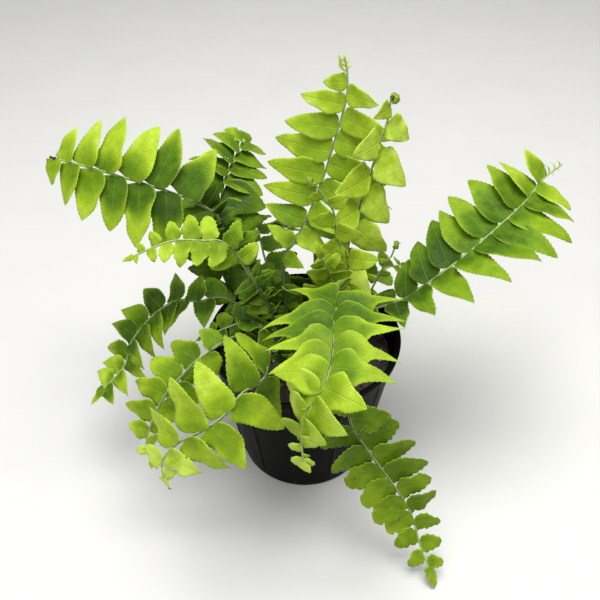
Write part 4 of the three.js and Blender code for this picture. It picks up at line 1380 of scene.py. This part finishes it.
def pot_profile():
    """The pot's outline from the middle of its underside over its rim to the middle of its floor,
    with extra rows where the ribs are."""
    band = POT_HEIGHT - RIM_BAND_HEIGHT
    stand = POT_BASE_RADIUS - STAND_WIDTH
    profile = rounded([
        (0, STAND_HEIGHT),
        (stand - STAND_SLOPE, STAND_HEIGHT),
        (stand, 0),
        (POT_BASE_RADIUS - BASE_EDGE, 0),
        (wall_radius(BASE_EDGE_HEIGHT), BASE_EDGE_HEIGHT),
        (wall_radius(RIB_FOOT), RIB_FOOT),
        (wall_radius(band), band),
        (wall_radius(band) + RIM_BAND_PROUD, band + RIM_BAND_SLOPE),
        (POT_RIM_RADIUS, POT_HEIGHT),
        (wall_radius(POT_HEIGHT) - POT_WALL, POT_HEIGHT),
        (wall_radius(POT_FLOOR) - POT_WALL, POT_FLOOR),
        (0, POT_FLOOR),
    ], POT_ROUNDING)
    lowest = RIB_FOOT + RIB_ROWS_CLEAR
    wall = [(wall_radius(z), z) for z in np.linspace(lowest, band - RIB_ROWS_CLEAR, RIB_ROWS)]
    above = next(i for i, point in enumerate(profile) if point[1] > lowest)
    return np.vstack([profile[:above], wall, profile[above:]])


def make_pot():
    """The moulded pot: a rounded profile turned round, with twelve upright ribs, each a bell curve
    of the distance from its line, that fade at their ends."""
    band = POT_HEIGHT - RIM_BAND_HEIGHT
    profile = pot_profile()
    outer_rows = int(np.argmax(profile[1:-1, 1] >= POT_HEIGHT - NEAR_TOP))

    def ribs(height, angle):
        """How far the ribs stand out, by row and angle."""
        between = 2 * math.pi / RIB_COUNT
        turn = (angle - RIB_TURN) % between
        off = np.minimum(turn, between - turn)[None] * POT_BASE_RADIUS / (RIB_WIDTH / 2)
        fade = ease(height, RIB_FOOT, RIB_FOOT + RIB_FOOT_FADE)
        fade = fade * (1 - ease(height, band - RIB_TOP_FADE, band))
        fade[outer_rows + 1:] = 0
        return RIB_PROUD * np.exp(-(off**2) * RIB_SHARP) * fade[:, None]

    body = Body()
    revolved(body, profile, POT_COLUMNS, ribs)
    piece = body.made("pot_moulded", [pot_material()])
    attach(piece, "root")
    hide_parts("pot")


def mix_height(x, y):
    """The height of the mix's top: a low dome with broad and fine waves, as in the part's source."""
    radius = np.hypot(x, y)
    broad = np.sin(0.31 * x + 1.3) * np.cos(0.27 * y - 0.4)
    fine = 0.6 * np.sin(0.5 * x + 0.013 * x * y)
    dome = MIX_RISE * (1 - (radius / wall_radius(MIX_EDGE_Z)) ** 2)
    return MIX_EDGE_Z + dome + MIX_LUMP * (broad + fine)


def lattice_noise(x, y, size, seed):
    """Smooth noise from -1 to 1: random heights on a square lattice of that size, eased between."""
    count = 128
    heights = np.random.default_rng(seed).uniform(-1, 1, (count, count))
    u = x / size + count / 2
    v = y / size + count / 2
    i = np.floor(u).astype(int)
    j = np.floor(v).astype(int)
    a = ease(u - i, 0, 1)
    b = ease(v - j, 0, 1)
    low = blend(heights[i % count, j % count], heights[(i + 1) % count, j % count], a)
    high = blend(heights[i % count, (j + 1) % count], heights[(i + 1) % count, (j + 1) % count], a)
    return blend(low, high, b)


def make_mix():
    """The potting mix: a closed body whose top is the dome plus crumbs of three sizes, the middle
    ones all raised. Its rings share out the area, so they lie closer towards the edge."""
    edge = wall_radius(MIX_EDGE_Z) - POT_WALL - CLEARANCE
    floor = POT_FLOOR + CLEARANCE
    low_edge = wall_radius(floor) - POT_WALL - 2 * CLEARANCE
    angle = angles_round(MIX_COLUMNS)
    reach = edge * np.sqrt(np.linspace(*MIX_RING_SHARES, MIX_RINGS))[:, None]
    x = reach * np.cos(angle)
    y = reach * np.sin(angle)
    coarse, middle, fine = (height * lattice_noise(x, y, size, seed)
                            for seed, (height, size) in enumerate(zip(CRUMB_HEIGHTS, CRUMB_SIZES), 1))
    crumbs = coarse + np.abs(middle) + fine
    z = mix_height(x, y) + crumbs * ease(reach, edge, edge * CRUMBS_END) - MIX_SUNK
    sides = [(low_edge, floor), (edge - CLEARANCE, MIX_EDGE_Z - MIX_SHOULDER)]
    skirt = [round_axis(radius, angle, height) for radius, height in sides]
    body = Body()
    body.add(np.concatenate([skirt, triples(x, y, z)]), shell_faces(MIX_RINGS + len(sides), MIX_COLUMNS))
    piece = body.made("mix_crumbs", [mix_material()])
    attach(piece, "root")
    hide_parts("potting_mix")


def add_lump(body, rng, place, size, kind=0, **values):
    """A small rough lump: rings of a sphere, each point moved in or out by chance, stretched to
    size and turned at random."""
    polar = np.linspace(LUMP_POLE, math.pi - LUMP_POLE, LUMP_RINGS)[:, None]
    ball = round_axis(np.sin(polar), angles_round(LUMP_SIDES), np.cos(polar))
    ball = ball * rng.uniform(*LUMP_ROUGH, ball.shape[:2])[..., None] * size
    axes, _ = np.linalg.qr(rng.normal(size=(3, 3)))
    axes = axes * np.sign(np.linalg.det(axes))
    faces = shell_faces(LUMP_RINGS, LUMP_SIDES, flipped=True)
    body.add(place + ball.reshape(-1, 3) @ axes.T, faces, kind, **values)


def scatter(rng, count):
    """Random places on the top of the mix, up to near its edge."""
    angle = rng.uniform(0, 2 * math.pi, count)
    reach = BITS_REACH * wall_radius(MIX_EDGE_Z) * np.sqrt(rng.uniform(0, 1, count))
    x = reach * np.cos(angle)
    y = reach * np.sin(angle)
    return triples(x, y, mix_height(x, y))


def make_bits():
    """Bark and perlite on top of the mix: rough lumps, half sunk, in one piece each."""
    bark = Body()
    perlite = Body()
    rng = np.random.default_rng(BITS_SEED)
    for place in scatter(rng, BARK_COUNT):
        size = rng.uniform(*BARK_LENGTH) * np.array([1, rng.uniform(*BARK_WIDTH), rng.uniform(*BARK_THICK)])
        add_lump(bark, rng, place, size, tone=rng.uniform(0, 1) ** BARK_TONE_POWER)
    for place in scatter(rng, PERLITE_COUNT):
        length = rng.uniform(*PERLITE_LENGTH)
        size = length * np.array([1, rng.uniform(*PERLITE_WIDTH), rng.uniform(*PERLITE_THICK)])
        add_lump(perlite, rng, place, size, tone=0.5)
    kinds = [(bark, "mix_bark", bark_material()), (perlite, "mix_perlite", perlite_material())]
    for body, name, material in kinds:
        piece = body.made(name, [material])
        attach(piece, "root")


# The setting


def make_floor():
    """A large pale plane under the pot."""
    size = FLOOR_HALF / MM
    low = FLOOR_Z / MM
    floor = Body()
    floor.add([(-size, -size, low), (size, -size, low), (size, size, low), (-size, size, low)],
              [np.array([[0, 1, 2, 3]])])
    floor.made("floor", [floor_material()])


def make_light(name, place, size, watts, colour):
    """A square soft light that looks at the middle of the plant."""
    data = bpy.data.lights.new(name, "AREA")
    data.size = size
    data.energy = watts
    data.color = colour
    light = bpy.data.objects.new(name, data)
    light.location = place
    light.rotation_euler = (Vector(LIGHTS_AIM) - Vector(place)).to_track_quat("-Z", "Y").to_euler()
    bpy.context.scene.collection.objects.link(light)


def make_sky():
    """An even pale sky."""
    world = bpy.data.worlds.new("studio")
    world.use_nodes = True
    background = world.node_tree.nodes["Background"]
    background.inputs["Color"].default_value = SKY_COLOUR
    background.inputs["Strength"].default_value = SKY_STRENGTH
    bpy.context.scene.world = world


def make_camera():
    """The camera, which looks down on the front of the plant."""
    data = bpy.data.cameras.new("camera")
    data.sensor_width = CAMERA_SENSOR
    data.lens = CAMERA_FOCAL / FRAME_PIXELS * CAMERA_SENSOR
    camera = bpy.data.objects.new("camera", data)
    camera.location = CAMERA_PLACE
    camera.rotation_euler = (math.radians(90 - CAMERA_PITCH), 0, 0)
    bpy.context.scene.collection.objects.link(camera)
    bpy.context.scene.camera = camera
    bpy.context.scene.view_settings.view_transform = "Standard"


make_floor()
make_light("key_light", **KEY_LIGHT)
make_light("fill_light", **FILL_LIGHT)
make_sky()
make_camera()
make_pot()
make_mix()
make_bits()

plants = [{"frond": frond, "route": Route(frond["route"])} for frond in FRONDS]
for plant in plants:
    plant["leaves"] = leaflets_of(plant)
fill_stalks(plants, settle(plants))
grow(plants, [leaf_material(), midrib_material()])
make_drops(plants)

bpy.context.view_layer.update()
